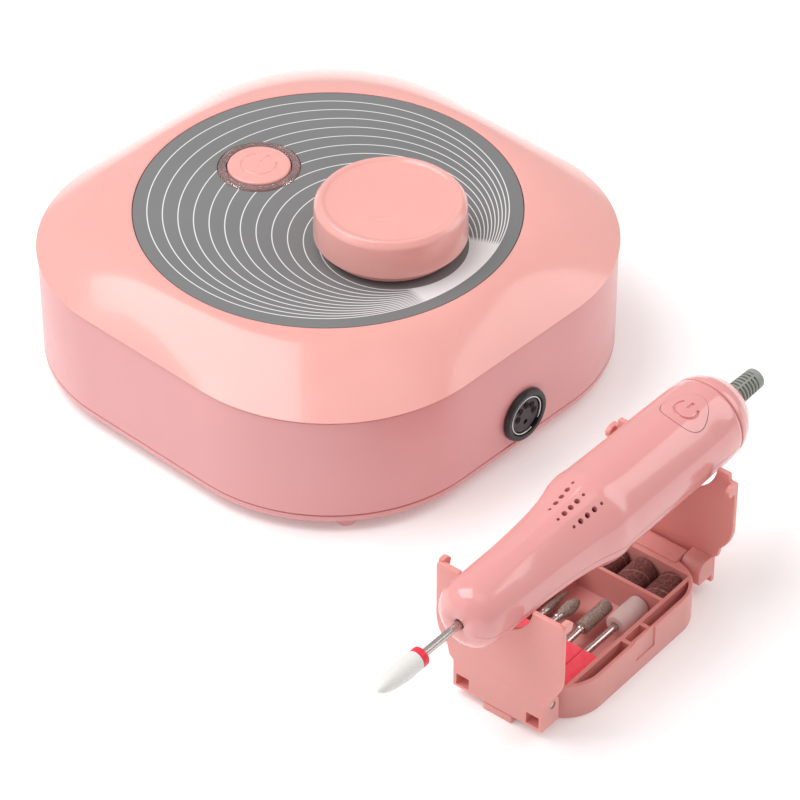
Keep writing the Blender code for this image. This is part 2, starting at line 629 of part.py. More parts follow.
# ------------------------------------------------------------------------------------------------------
# Bit case; in its frame X runs along the handpiece and the flaps are hinged at both ends
# ------------------------------------------------------------------------------------------------------
def case_tray(case):
    outline = rounded_box_outline(TRAY_HALF_L, TRAY_HALF_W, TRAY_CORNER)
    tray = place(prism("case_tray", [outline], 0, TRAY_H, CASE_PINK), case)
    above = TRAY_H + 3 * MM
    bays = (
        ("bit_bay", -BAY_END, DIVIDER_U),
        ("band_bay", DIVIDER_U + DIVIDER_T, BAY_END),
    )
    for name, u0, u1 in bays:
        bay = box(name, (u0, -BAY_HALF_W, FLOOR_T), (u1, BAY_HALF_W, above), collection=CUTTERS)
        modify(tray, place(bay, case), "DIFFERENCE")
    corner = TRAY_CORNER - (TRAY_HALF_W - CHANNEL_OUT)
    cu, cv = TRAY_HALF_L - TRAY_CORNER, TRAY_HALF_W - TRAY_CORNER
    reach = math.degrees(math.asin((CHANNEL_IN - cv) / corner))
    bridge = 5 * MM
    for i, (su, sv) in enumerate(((1, 1), (-1, 1), (-1, -1), (1, -1))):
        pocket = [(bridge, CHANNEL_IN)] + arc(cu, cv, corner, reach, 90, 5) + [(bridge, CHANNEL_OUT)]
        pocket = [(su * u, sv * v) for u, v in pocket]
        cutter = prism(f"channel_{i}", [pocket], FLOOR_T, above, collection=CUTTERS)
        modify(tray, place(cutter, case), "DIFFERENCE")
    for sv in (-1, 1):
        low, high = sorted((sv * CHANNEL_IN, sv * CHANNEL_OUT))
        slot = box("hook_slot", (-bridge - 1 * MM, low, TRAY_H - 3.6 * MM), (bridge + 1 * MM, high, above),
                   collection=CUTTERS)
        modify(tray, place(slot, case), "DIFFERENCE")
        low, high = sorted((sv * (TRAY_HALF_W - 0.6 * MM), sv * (TRAY_HALF_W + 2 * MM)))
        grip = box("finger_grip", (-6 * MM, low, 5 * MM), (3 * MM, high, above), collection=CUTTERS)
        modify(tray, place(grip, case), "DIFFERENCE")
    for side in (-1, 1):
        add_hinge_block(tray, case, side)


def add_hinge_block(tray, case, side):
    """Knuckle between the flap's lugs, with the foot under the open flap."""
    turn = (math.pi / 2, 0, 0) if side > 0 else (math.pi / 2, 0, math.pi)
    radius = 2.8 * MM
    root = TRAY_HALF_L - 2 * MM
    profile = [(root, 0.4 * MM), (PIN_U + radius, 0.4 * MM), (PIN_U + radius, PIN_Z)]
    profile += arc(PIN_U, PIN_Z, radius, 15, 90, 5) + [(root, PIN_Z + radius)]
    half = LUG_IN - GAP
    block = prism(f"knuckle_{side}", [profile], -half, half, collection=CUTTERS)
    modify(tray, place(block, case, (0, 0, 0), turn), "UNION")
    foot = box(f"hinge_foot_{side}", (root, -5 * MM, 0),
               (PIN_U + FLAP_OUT + 0.4 * MM, 5 * MM, PIN_Z - FLAP_BOTTOM - GAP), collection=CUTTERS)
    modify(tray, place(foot, case, (0, 0, 0), (0, 0, 0 if side > 0 else math.pi)), "UNION")
    hole = rod(f"pin_hole_{side}", PIN_HOLE_R, -20 * MM, 20 * MM, collection=CUTTERS, segments=12)
    modify(tray, place(hole, case, (side * PIN_U, 0, PIN_Z), (math.pi / 2, 0, 0)), "DIFFERENCE")


def flap_outline(notch):
    """Outline of an open flap across (x) and above its pin (y)."""
    half = FLAP_HALF_W
    top = FLAP_REACH
    shoulder = PIN_U - TRAY_HALF_L  # height where the flap meets the tray's end
    right = [(LUG_OUT, -FLAP_BOTTOM), (LUG_OUT, shoulder - 1.0 * MM), (17.6 * MM, shoulder + 0.2 * MM)]
    cu, cv = shoulder + TRAY_CORNER, half - TRAY_CORNER
    start = math.degrees(math.acos((18.2 * MM - cv) / TRAY_CORNER))
    right += [(x, 2 * cu - y) for x, y in arc(cv, cu, TRAY_CORNER, start, 0, 5)]
    right += arc(half - 1.5 * MM, top - 1.5 * MM, 1.5 * MM, 0, 90, 3)
    across, height, radius = notch
    edge = math.degrees(math.acos((height - top) / radius))
    cradle = arc(across, height, radius, -90 + edge, -90 - edge, 14)
    return right + cradle + [(-x, y) for x, y in reversed(right)]


def flap_solid(name, notch):
    """One open flap about its pin: x across, y outwards from the tray, z up."""
    flap = prism(name, [flap_outline(notch)], -FLAP_T / 2, FLAP_T / 2, CASE_PINK)
    bpy.context.view_layer.update()
    upright = Matrix.Translation((0, -FLAP_OUT + FLAP_T / 2, 0)) @ Matrix.Rotation(math.pi / 2, 4, "X")
    flap.data.transform(upright)
    inner = FLAP_OUT - FLAP_T
    radius = 2.8 * MM
    for side in (-1, 1):
        low, high = sorted((side * LUG_IN, side * LUG_OUT))
        profile = [(-inner - 0.6 * MM, -FLAP_BOTTOM), (radius, -FLAP_BOTTOM), (radius, 0)]
        profile += arc(0, 0, radius, 15, 90, 5) + [(-inner - 0.6 * MM, radius)]
        lug = prism(f"{name}_lug_{side}", [profile], low, high, collection=CUTTERS)
        lug.data.transform(Matrix.Rotation(math.pi / 2, 4, "Z") @ Matrix.Rotation(math.pi / 2, 4, "X"))
        modify(flap, lug, "UNION")
        low, high = sorted((side * HOOK_IN, side * HOOK_OUT))
        hook = box(f"{name}_hook_{side}", (low, -inner - 0.6 * MM, FLAP_REACH - 3 * MM),
                   (high, -inner + 3.2 * MM, FLAP_REACH), collection=CUTTERS)
        modify(flap, hook, "UNION")
        mid = side * 12.5 * MM
        pocket = box(f"{name}_pocket_{side}", (mid - 2.3 * MM, -FLAP_OUT - 2 * MM, -6.2 * MM),
                     (mid + 2.3 * MM, -1.6 * MM, -2.1 * MM), collection=CUTTERS)
        modify(flap, pocket, "DIFFERENCE")
    hole = rod(name + "_pin_hole", PIN_HOLE_R, -20 * MM, 20 * MM, collection=CUTTERS, segments=12)
    place(hole, None, (0, 0, 0), (0, math.pi / 2, 0))
    modify(flap, hole, "DIFFERENCE")
    return flap


def flaps_and_pins(case):
    for name, side, notch in (("front", -1, FRONT_NOTCH), ("rear", 1, REAR_NOTCH)):
        rough = flap_solid(f"{name}_flap_rough", notch)
        bpy.context.view_layer.update()
        graph = bpy.context.evaluated_depsgraph_get()
        mesh = bpy.data.meshes.new_from_object(rough.evaluated_get(graph))
        bpy.data.objects.remove(rough)
        hinge = empty(f"{name}_hinge", (side * PIN_U, 0, PIN_Z), (0, 0, side * math.pi / 2), case)
        flap = bpy.data.objects.new(f"{name}_flap", mesh)
        PARTS.objects.link(flap)
        place(flap, hinge)
        pin = rod(f"{name}_hinge_pin", PIN_R, -15.7 * MM, 15.7 * MM, STEEL, segments=16)
        place(pin, case, (side * PIN_U, 0, PIN_Z), (math.pi / 2, 0, 0))


BITS = (  # name, across the case, nose of the head along the case, yaw in degrees, head profile (mm)
    ("cone_bit", 12.7, 8.5, 0, ((0, 0), (0.5, -0.5), (1.1, -5), (1.7, -11), (1.2, -11.6))),
    ("flame_bit", 7.7, 7.1, -2.5, ((0, 0), (1.2, -0.6), (2.2, -3), (2.3, -5), (1.7, -8.2), (1.2, -9.6))),
    ("barrel_bit", 0.1, 10.7, 1, ((0, 0), (2.2, 0), (2.5, -0.4), (2.5, -12.6), (2.2, -13), (1.2, -13))),
)
BIT_Z = 5.6 * MM
MANDREL_V = -8 * MM  # the mandrel lies higher, between the two foam blocks
MANDREL_Z = 7 * MM


def stored_bits(case):
    """Spare bits whose shanks lie in the foam, and the sanding mandrel."""
    for name, v, nose, yaw, head in BITS:
        profile = [(r * MM, z * MM) for r, z in head]
        profile += [(SHANK_R, head[-1][1] * MM), (SHANK_R, -33 * MM), (0, -33 * MM)]
        if profile[-4][0] == SHANK_R:
            profile.pop(-4)
        bit = turned(name, profile, BURR_GREY, steps=14)
        place(bit, case, (nose * MM, v * MM, BIT_Z), (0, math.pi / 2, math.radians(yaw)))
    mandrel = empty("mandrel_axis", (15.4 * MM, MANDREL_V, MANDREL_Z), (0, math.pi / 2, 0), case)
    place(rod("mandrel_shank", SHANK_R, -38 * MM, -6 * MM, STEEL, segments=16), mandrel)
    drum = [
        (0, 0), (2.9 * MM, 0), (3.4 * MM, -0.5 * MM), (3.4 * MM, -11.5 * MM), (2.9 * MM, -12 * MM),
        (SHANK_R + GAP, -12 * MM), (SHANK_R + GAP, -5.7 * MM), (0, -5.7 * MM),
    ]
    place(turned("mandrel_drum", drum, DRUM_WHITE, steps=16), mandrel)
    for i, v in enumerate((-10.1, 0, 10.1), start=1):
        band = prism(f"sanding_band_{i}", [circle(0, 0, 4.5 * MM, 20), circle(0, 0, 3.7 * MM, 20)], -6 * MM,
                     6 * MM, BAND_BROWN)
        place(band, case, (23.25 * MM, v * MM, 6.4 * MM), (0, math.pi / 2, 0))


def foam_blocks(case):
    """Two foam blocks, slotted for the shanks; the mandrel's slot is shared between them."""
    shared = (MANDREL_V, 0.35 * MM, MANDREL_Z)
    own = ((-0.4 * MM, 0.45 * MM, BIT_Z), (8.85 * MM, 0.65 * MM, BIT_Z), (12.7 * MM, 0.4 * MM, BIT_Z))
    split = GAP / 2
    for name, v0, v1, slots in (
        ("foam_right", -14.7 * MM, MANDREL_V - split, (shared,)),
        ("foam_left", MANDREL_V + split, 14.7 * MM, (shared, *own)),
    ):
        block = box(name, (-29.2 * MM, v0, FLOOR_T + GAP), (-11.8 * MM, v1, 9.4 * MM), FOAM_RED)
        place(block, case)
        for i, (v, slack, z) in enumerate(slots):
            half = SHANK_R + slack
            slot = box(f"{name}_slot_{i}", (-40 * MM, v - half, z - SHANK_R - GAP),
                       (0, v + half, z + SHANK_R + GAP), collection=CUTTERS)
            modify(block, place(slot, case), "DIFFERENCE")


# ------------------------------------------------------------------------------------------------------
# Build
# ------------------------------------------------------------------------------------------------------
clear_scene()
PARTS = make_collection("nail_drill_set")
CUTTERS = make_collection("cutters")
CUTTERS.hide_render = True

PINK_GLOSS = material("pink_gloss", (0.87, 0.47, 0.43), 0.18)
PINK_SHELL = material("pink_shell", (0.80, 0.41, 0.41), 0.30)
PANEL_GREY = material("panel_grey", (0.20, 0.20, 0.21), 0.45)
CLEAR_PLASTIC = material("clear_plastic", (0.55, 0.42, 0.42), 0.08)
BLACK_PLASTIC = material("black_plastic", (0.02, 0.018, 0.02), 0.40)
STEEL = material("steel", (0.62, 0.62, 0.62), 0.22, 1.0)
ALUMINIUM = material("aluminium", (0.70, 0.70, 0.72), 0.35, 1.0)
BOARD_GREEN = material("board_green", (0.03, 0.22, 0.09), 0.45)
SLEEVE_GREY = material("sleeve_grey", (0.33, 0.34, 0.32), 0.60)
CERAMIC = material("ceramic", (0.82, 0.82, 0.80), 0.45)
RING_RED = material("ring_red", (0.85, 0.05, 0.09), 0.35)
CASE_PINK = material("case_pink", (0.80, 0.36, 0.34), 0.42)
FOAM_RED = material("foam_red", (0.88, 0.06, 0.10), 0.85)
BURR_GREY = material("burr_grey", (0.30, 0.27, 0.25), 0.50, 0.6)
DRUM_WHITE = material("drum_white", (0.75, 0.66, 0.64), 0.35)
BAND_BROWN = material("band_brown", (0.16, 0.06, 0.05), 0.85)

UNIT = empty("unit_frame", UNIT_AT)
top_cover(UNIT)
side_shell(UNIT)
base_plate(UNIT)
feet_and_screws(UNIT)
panel_disc(UNIT)
power_button(UNIT)
speed_control(UNIT)
handpiece_socket(UNIT)
power_inlet(UNIT)
electronics(UNIT)

HANDPIECE_AXIS = empty("handpiece_axis", HP_NOSE, (0, math.pi / 2 - HP_TILT, HP_YAW))
HANDPIECE = empty("handpiece_frame", (0, 0, 0), (0, 0, HP_ROLL), HANDPIECE_AXIS)
handpiece_shells(HANDPIECE)
handpiece_button(HANDPIECE)
handpiece_rear(HANDPIECE)
handpiece_drive(HANDPIECE)
fitted_bit(HANDPIECE)

CASE = empty("case_frame", CASE_AT, (0, 0, CASE_YAW))
case_tray(CASE)
flaps_and_pins(CASE)
stored_bits(CASE)
foam_blocks(CASE)
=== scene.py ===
"""Visual model of the electric nail drill set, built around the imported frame.

Metres, +Z up. The control unit, the handpiece and the bit case each have a local frame in millimetres,
and every piece is made there and carried into the world by that frame's matrix.
"""

import json
from math import acos, asin, atan2, cos, degrees as in_degrees, pi, radians, sin, sqrt, tan

import bmesh
import bpy
from mathutils import Matrix, Vector, noise


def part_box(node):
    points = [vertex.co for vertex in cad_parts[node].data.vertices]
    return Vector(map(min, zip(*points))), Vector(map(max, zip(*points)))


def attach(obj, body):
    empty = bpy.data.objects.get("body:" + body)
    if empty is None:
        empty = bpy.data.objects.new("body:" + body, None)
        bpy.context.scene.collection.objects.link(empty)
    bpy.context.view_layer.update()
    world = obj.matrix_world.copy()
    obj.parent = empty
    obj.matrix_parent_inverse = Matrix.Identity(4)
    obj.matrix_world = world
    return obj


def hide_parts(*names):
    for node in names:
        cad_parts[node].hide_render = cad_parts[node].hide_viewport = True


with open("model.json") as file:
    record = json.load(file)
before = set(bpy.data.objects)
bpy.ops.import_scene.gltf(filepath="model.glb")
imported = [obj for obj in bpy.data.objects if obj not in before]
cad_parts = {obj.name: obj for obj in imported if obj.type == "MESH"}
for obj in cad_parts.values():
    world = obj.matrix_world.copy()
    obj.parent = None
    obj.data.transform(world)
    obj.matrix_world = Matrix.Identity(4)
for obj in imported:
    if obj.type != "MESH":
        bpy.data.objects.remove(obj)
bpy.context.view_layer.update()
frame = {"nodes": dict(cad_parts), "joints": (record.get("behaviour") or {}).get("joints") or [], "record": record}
JOINTS = {joint["name"]: joint for joint in frame["joints"]}
SLOTS = {part["node"]: part["material_slot"] for part in frame["record"]["subparts"]}
MM = 0.001
UP = Vector((0, 0, 1))
WELD = 0.0005  # mm within which two vertices are made one
POLE = 1e-6  # mm below which a ring is a single point


# ---- Places, read from the frame ----
def shift(x, y, z):
    return Matrix.Translation((x, y, z))


def turn(degrees, axis):
    return Matrix.Rotation(radians(degrees), 4, axis)


def polar(radius, degrees):
    """A point of a circle in the plane; degrees run from +X."""
    a = radians(degrees)
    return radius * cos(a), radius * sin(a)


def middle(node):
    low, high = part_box(node)
    return (low + high) / 2


def joint_point(name):
    return Vector(JOINTS[name]["pos_m"])


def joint_axis(name):
    return Vector(JOINTS[name]["axis"])


def in_mm(x_axis, y_axis, z_axis, origin):
    """World matrix of a frame whose units are millimetres."""
    axes = Matrix((x_axis.normalized(), y_axis.normalized(), z_axis.normalized())).transposed().to_4x4()
    return Matrix.Translation(origin) @ axes @ Matrix.Scale(MM, 4)


def unit_frame():
    """Middle of the control unit on the floor, axes as the world's."""
    disc = middle("panel_disc")
    return in_mm(Vector((1, 0, 0)), Vector((0, 1, 0)), UP, Vector((disc.x, disc.y, 0)))


def handpiece_frame():
    """+Z from nose to cord end, +Y up, +X to the right of one who looks from the cord end to the nose."""
    axis = joint_axis("spindle_spin")
    up = -joint_axis("tool_button_press")
    nose = joint_point("spindle_spin") - axis * NOSE_TO_JOINT * MM
    return in_mm(up.cross(axis), up, axis, nose)


def case_frame():
    """Middle of the tray's floor, +X towards the rear flap."""
    front, rear = joint_point("front_flap_fold"), joint_point("rear_flap_fold")
    along = (rear - front).normalized()
    floor = (front + rear) / 2
    floor.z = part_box("case_tray")[0].z
    return in_mm(along, UP.cross(along), UP, floor)


def flap_frame(joint):
    """On the hinge pin: +X along the pin, +Y away from the tray, +Z up."""
    axis = joint_axis(joint)
    return in_mm(axis, UP.cross(axis), UP, joint_point(joint))


NOSE_TO_JOINT = 30.0  # mm from the handpiece's nose to the point stated on its axis
UNIT = unit_frame()
HANDPIECE = handpiece_frame()
CASE = case_frame()
FRONT_FLAP = flap_frame("front_flap_fold")
REAR_FLAP = flap_frame("rear_flap_fold")
IN_UNIT = UNIT.inverted()
IN_CASE = CASE.inverted()


def unit_z(node, top=True):
    """Height of a node's top or bottom over the floor, in millimetres."""
    return (IN_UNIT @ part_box(node)[1 if top else 0]).z


def under(node):
    """Frame on the floor below one of the control unit's nodes."""
    return UNIT @ Matrix.Translation((IN_UNIT @ middle(node)).xy.to_3d())


BASE_H = 3.2
HALF = (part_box("top_cover")[1].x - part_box("top_cover")[0].x) / 2 / MM
PANEL_Z = unit_z("panel_disc")
RIM_Z = unit_z("side_shell") + 0.3
BASE_Z = unit_z("base_plate", top=False)
SEAM_Z = BASE_Z + BASE_H
KNOB_Y = (IN_UNIT @ middle("speed_knob")).y
BUTTON_Y = (IN_UNIT @ middle("power_button")).y
SOCKET = IN_UNIT @ middle("socket_housing")
INLET = IN_UNIT @ middle("power_inlet")
PIN_Z = (IN_CASE @ joint_point("front_flap_fold")).z
PIN_U = (IN_CASE @ joint_point("rear_flap_fold")).x


# ---- Mesh helpers ----
def add(name, data):
    """A new object in the scene."""
    obj = bpy.data.objects.new(name, data)
    bpy.context.scene.collection.objects.link(obj)
    return obj


def solid(name, bm, at, mat, body, nodes=(), slot=None, sharp=32):
    """Carries a bmesh in millimetres into the world; the slot argument is not used."""
    slot = slot or (SLOTS[nodes[0]] if nodes else None)
    bmesh.ops.recalc_face_normals(bm, faces=bm.faces)
    bmesh.ops.transform(bm, matrix=at, verts=bm.verts)
    if at.is_negative:
        bmesh.ops.reverse_faces(bm, faces=bm.faces)
    mesh = bpy.data.meshes.new(name)
    bm.to_mesh(mesh)
    bm.free()
    obj = add(name, mesh)
    mesh.shade_smooth()
    mesh.set_sharp_from_angle(angle=radians(sharp))
    if mat:
        mesh.materials.append(mat)
    if body:
        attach(obj, body)
    if nodes:
        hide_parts(*nodes)
    return obj


def ring_pairs(bm, a, b):
    """Faces between two rings; a ring of one point is a pole."""
    count = max(len(a), len(b))
    for i in range(count):
        j = (i + 1) % count
        if len(a) == 1:
            bm.faces.new((a[0], b[i], b[j]))
        elif len(b) == 1:
            bm.faces.new((a[i], b[0], a[j]))
        else:
            bm.faces.new((a[i], b[i], b[j], a[j]))


def skin(rings, closed=False):
    """A bmesh through rings of points; open skins are capped unless they end in a pole."""
    bm = bmesh.new()
    loops = [[bm.verts.new(p) for p in ring] for ring in rings]
    for a, b in zip(loops, loops[1:]):
        ring_pairs(bm, a, b)
    if closed:
        ring_pairs(bm, loops[-1], loops[0])
    else:
        for loop in (loops[0], loops[-1]):
            if len(loop) > 2:
                bm.faces.new(loop)
    return bm


def fillet(points, closed=False, steps=5):
    """A path whose corners, given as (x, y) or (x, y, radius), are rounded."""
    path = []
    count = len(points)
    for i, point in enumerate(points):
        corner = Vector(point[:2])
        radius = point[2] if len(point) > 2 else 0
        if radius == 0 or (not closed and i in (0, count - 1)):
            path.append(corner)
            continue
        before = (Vector(points[i - 1][:2]) - corner).normalized()
        after = (Vector(points[(i + 1) % count][:2]) - corner).normalized()
        half = before.angle(after) / 2
        centre = corner + (before + after).normalized() * radius / sin(half)
        start = corner + before * radius / tan(half) - centre
        end = corner + after * radius / tan(half) - centre
        angle = atan2(start.y, start.x)
        sweep = (atan2(end.y, end.x) - angle + pi) % (2 * pi) - pi
        for k in range(steps + 1):
            a = angle + sweep * k / steps
            path.append(centre + radius * Vector((cos(a), sin(a))))
    return path


def lathe(path, closed=False, segments=96):
    """A bmesh of a path of (radius, height) turned about Z."""
    rings = []
    for r, z in path:
        if r < POLE:
            rings.append([(0, 0, z)])
        else:
            rings.append([(r * cos(a), r * sin(a), z)
                          for a in (2 * pi * i / segments for i in range(segments))])
    return skin(rings, closed)


def turned(name, points, at, mat, body, nodes=(), slot=None, sharp=32, segments=96, closed=False, steps=5):
    """A piece turned about Z, its corners rounded."""
    bm = lathe(fillet(points, closed, steps), closed, segments)
    return solid(name, bm, at, mat, body, nodes, slot, sharp)


def rod(radius, low, high, segments=96):
    """A bmesh of a plain cylinder about Z."""
    return lathe([(0, low), (radius, low), (radius, high), (0, high)], segments=segments)


def from_curve(curve, outlines, cyclic, lift=0.0):
    """A bmesh of a curve that runs through outlines."""
    for outline in outlines:
        spline = curve.splines.new("POLY")
        spline.points.add(len(outline) - 1)
        for point, place in zip(spline.points, outline):
            point.co = (*place, 1)
        spline.use_cyclic_u = cyclic
    rough = add(curve.name, curve)
    bpy.context.view_layer.update()
    mesh = bpy.data.meshes.new_from_object(rough.evaluated_get(bpy.context.evaluated_depsgraph_get()))
    bpy.data.objects.remove(rough)
    bm = bmesh.new()
    bm.from_mesh(mesh)
    bpy.data.meshes.remove(mesh)
    bmesh.ops.translate(bm, vec=(0, 0, lift), verts=bm.verts)
    bmesh.ops.remove_doubles(bm, verts=bm.verts, dist=WELD)
    return bm


def slab(outlines, z0, z1, edge=0.2):
    """A bmesh of flat outlines between two heights, with rounded edges."""
    curve = bpy.data.curves.new("slab", "CURVE")
    curve.dimensions = "2D"
    curve.fill_mode = "BOTH"
    curve.extrude = (z1 - z0) / 2 - edge
    curve.bevel_depth = edge
    curve.bevel_resolution = 2
    curve.offset = -edge
    return from_curve(curve, [[(x, y, 0) for x, y in outline] for outline in outlines], True, (z0 + z1) / 2)


def tube(points, radius):
    """A bmesh of a round bar along points."""
    curve = bpy.data.curves.new("tube", "CURVE")
    curve.dimensions = "3D"
    curve.bevel_depth = radius
    curve.bevel_resolution = 3
    curve.use_fill_caps = True
    return from_curve(curve, [points], False)


def block(low, high, edge=0.2):
    """A bmesh of a box with rounded edges."""
    bm = bmesh.new()
    low, high = Vector(low), Vector(high)
    bmesh.ops.create_cube(bm, size=1)
    bmesh.ops.scale(bm, vec=high - low, verts=bm.verts)
    bmesh.ops.translate(bm, vec=(low + high) / 2, verts=bm.verts)
    if edge:
        bmesh.ops.bevel(bm, geom=bm.edges, offset=edge, segments=3, profile=0.5, affect="EDGES")
    return bm


def combine(obj, shapes, sharp=32, operation="DIFFERENCE"):
    """Applies Booleans with shapes, each given as a bmesh in millimetres and its matrix."""
    helpers = [solid("helper", bm, at, None, None) for bm, at in shapes]
    for tool in helpers:
        step = obj.modifiers.new("cut", "BOOLEAN")
        step.operation = operation
        step.object = tool
        step.solver = "EXACT"
    bpy.context.view_layer.update()
    graph = bpy.context.evaluated_depsgraph_get()
    mesh = bpy.data.meshes.new_from_object(obj.evaluated_get(graph))
    obj.modifiers.clear()
    materials = list(obj.data.materials)
    obj.data = mesh
    if not mesh.materials:
        for mat in materials:
            mesh.materials.append(mat)
    for polygon in mesh.polygons:
        polygon.material_index = 0
    for tool in helpers:
        bpy.data.objects.remove(tool)
    mesh.shade_smooth()
    mesh.set_sharp_from_angle(angle=radians(sharp))


def rounding(obj, width):
    """A small bevel on the sharp edges left by Booleans."""
    soft = obj.modifiers.new("rounding", "BEVEL")
    soft.width = width * MM
    soft.segments = 2
    soft.limit_method = "ANGLE"
    soft.angle_limit = radians(40)


# ---- Materials ----
def linear(red, green, blue):
    """Linear colour of an 8-bit screen colour."""
    parts = (c / 255 for c in (red, green, blue))
    return tuple(((c + 0.055) / 1.055) ** 2.4 if c > 10 / 255 else c / 12.92 for c in parts)


class Nodes:
    """Short names for building one material's node tree."""

    def __init__(self, name):
        self.material = bpy.data.materials.new(name)
        self.material.use_nodes = True
        self.tree = self.material.node_tree
        self.shader = self.tree.nodes["Principled BSDF"]
        self.place = self.new("TexCoord").outputs["Object"]

    def new(self, kind):
        return self.tree.nodes.new("ShaderNode" + kind)

    def link(self, source, target):
        self.tree.links.new(source, target)

    def math(self, operation, a, b=0.0):
        node = self.new("Math")
        node.operation = operation
        for socket, value in zip(node.inputs, (a, b)):
            if isinstance(value, (int, float)):
                socket.default_value = value
            else:
                self.link(value, socket)
        return node.outputs[0]

    def times(self, a, b):
        return self.math("MULTIPLY", a, b)

    def plus(self, a, b):
        return self.math("ADD", a, b)

    def minus(self, a, b):
        return self.math("SUBTRACT", a, b)

    def root(self, a):
        return self.math("SQRT", a)

    def noise(self, scale, detail=3.0, vector=None):
        node = self.new("TexNoise")
        node.inputs["Scale"].default_value = scale
        node.inputs["Detail"].default_value = detail
        self.link(vector or self.place, node.inputs["Vector"])
        return node.outputs["Fac"]

    def cells(self, scale, output="Distance"):
        node = self.new("TexVoronoi")
        node.inputs["Scale"].default_value = scale
        self.link(self.place, node.inputs["Vector"])
        return node.outputs[output]

    def parts(self, value, kind="XYZ"):
        """The outputs of a vector or colour taken apart."""
        node = self.new("Separate" + kind)
        self.link(value, node.inputs[0])
        return node.outputs

    def mapped(self, location=(0, 0, 0), rotation=(0, 0, 0), scale=(1, 1, 1)):
        """The place after a scale, a rotation and a move."""
        node = self.new("Mapping")
        for name, value in (("Location", location), ("Rotation", rotation), ("Scale", scale)):
            node.inputs[name].default_value = value
        self.link(self.place, node.inputs["Vector"])
        return node.outputs["Vector"]

    def span(self, value, low, high, to_low, to_high):
        node = self.new("MapRange")
        self.link(value, node.inputs["Value"])
        for name, number in (("From Min", low), ("From Max", high), ("To Min", to_low), ("To Max", to_high)):
            node.inputs[name].default_value = number
        return node.outputs["Result"]

    def mix(self, share, a, b):
        node = self.new("Mix")
        node.data_type = "RGBA"
        self.link(share, node.inputs["Factor"])
        for socket, colour in ((node.inputs["A"], a), (node.inputs["B"], b)):
            if isinstance(colour, tuple):
                socket.default_value = (*colour, 1)
            else:
                self.link(colour, socket)
        return node.outputs["Result"]

    def put(self, name, value):
        """Sets or links one of the shader's inputs."""
        socket = self.shader.inputs[name]
        if isinstance(value, bpy.types.NodeSocket):
            self.link(value, socket)
        elif isinstance(value, tuple):
            socket.default_value = (*value, 1)
        else:
            socket.default_value = value

    def tone(self, scale, detail, dark, light):
        """A base colour that drifts between two tones."""
        self.put("Base Color", self.mix(self.noise(scale, detail), dark, light))

    def satin(self, scale, detail, low, high):
        """A roughness that drifts between two values."""
        self.put("Roughness", self.span(self.noise(scale, detail), 0.3, 0.7, low, high))

    def bump(self, height, strength, distance):
        node = self.new("Bump")
        node.inputs["Strength"].default_value = strength
        node.inputs["Distance"].default_value = distance
        self.link(height, node.inputs["Height"])
        self.put("Normal", node.outputs["Normal"])

    def scatter(self, weight, radius):
        self.put("Subsurface Weight", weight)
        self.put("Subsurface Radius", Vector(radius))
        self.put("Subsurface Scale", 0.6)


def plastic(name, colour, roughness, coat=0.0, grain=0.05, subsurface=0.0):
    """Moulded plastic: a slow drift of tone, fine flow marks and a faint mould grain."""
    n = Nodes(name)
    colour = linear(*colour)
    n.tone(45, 2, tuple(c * 0.965 for c in colour), tuple(min(1, c * 1.03 + 0.004) for c in colour))
    n.satin(260, 3, roughness * 0.88, roughness * 1.14)
    n.bump(n.noise(2600, 2), grain, 0.00002)
    n.put("Coat Weight", coat)
    n.put("Coat Roughness", 0.06)
    n.scatter(subsurface, (0.004, 0.0015, 0.001))
    return n.material


def metal(name, colour, roughness, grain=0.12, brushed=None):
    """Ground or plated metal, with scratches across the axis where it is turned."""
    n = Nodes(name)
    n.put("Metallic", 1.0)
    n.tone(900, 3, tuple(c * 0.93 for c in colour), colour)
    n.satin(1500, 3, roughness * 0.88, roughness * 1.15)
    n.bump(n.noise(3000, 2, n.mapped(scale=brushed) if brushed else None), grain, 0.00003)
    return n.material


def panel_material():
    """Grey satin faceplate with fine white rings that crowd together on the knob's side."""
    n = Nodes("panel")
    centre = UNIT.translation
    place = n.parts(n.place)
    x = n.times(n.minus(place["X"], centre.x), 1 / MM)
    y = n.times(n.minus(place["Y"], centre.y), 1 / MM)
    step, shrink, first, count = 2.54, 2.98, 55.7, 12
    # ring i has its centre at -step * i and the radius first - shrink * i; solve for i at this point
    x2 = n.times(x, x)
    r2 = n.plus(x2, n.times(y, y))
    a = shrink * shrink - step * step
    b = n.plus(n.times(y, 2 * step), 2 * first * shrink)
    c = n.minus(first * first, r2)
    root = n.root(n.math("MAXIMUM", n.minus(n.times(b, b), n.times(c, 4 * a)), 0.0))
    index = n.math("DIVIDE", n.minus(b, root), 2 * a)
    nearest = n.math("MINIMUM", n.math("MAXIMUM", n.math("ROUND", index), 0.0), count - 1.0)
    shifted = n.plus(y, n.times(nearest, step))
    distance = n.root(n.plus(x2, n.times(shifted, shifted)))
    off = n.math("ABSOLUTE", n.minus(distance, n.minus(first, n.times(nearest, shrink))))
    line = n.span(off, 0.08, 0.22, 1.0, 0.0)
    # beside the knob the rings run together into a white crescent
    towards = n.math("DIVIDE", n.times(y, -1.0), n.root(r2))
    merged = n.span(n.plus(towards, n.times(x, 0.0012)), 0.938, 0.952, 0.0, 0.85)
    inside = n.times(n.math("GREATER_THAN", index, -0.1), n.math("LESS_THAN", index, count - 0.8))
    line = n.math("MAXIMUM", line, n.times(merged, inside))
    grey = n.mix(n.noise(30, 2), linear(116, 116, 117), linear(126, 126, 127))
    n.put("Base Color", n.mix(line, grey, linear(238, 236, 236)))
    n.satin(500, 3, 0.36, 0.46)
    n.bump(n.noise(3200, 2), 0.12, 0.00002)
    return n.material


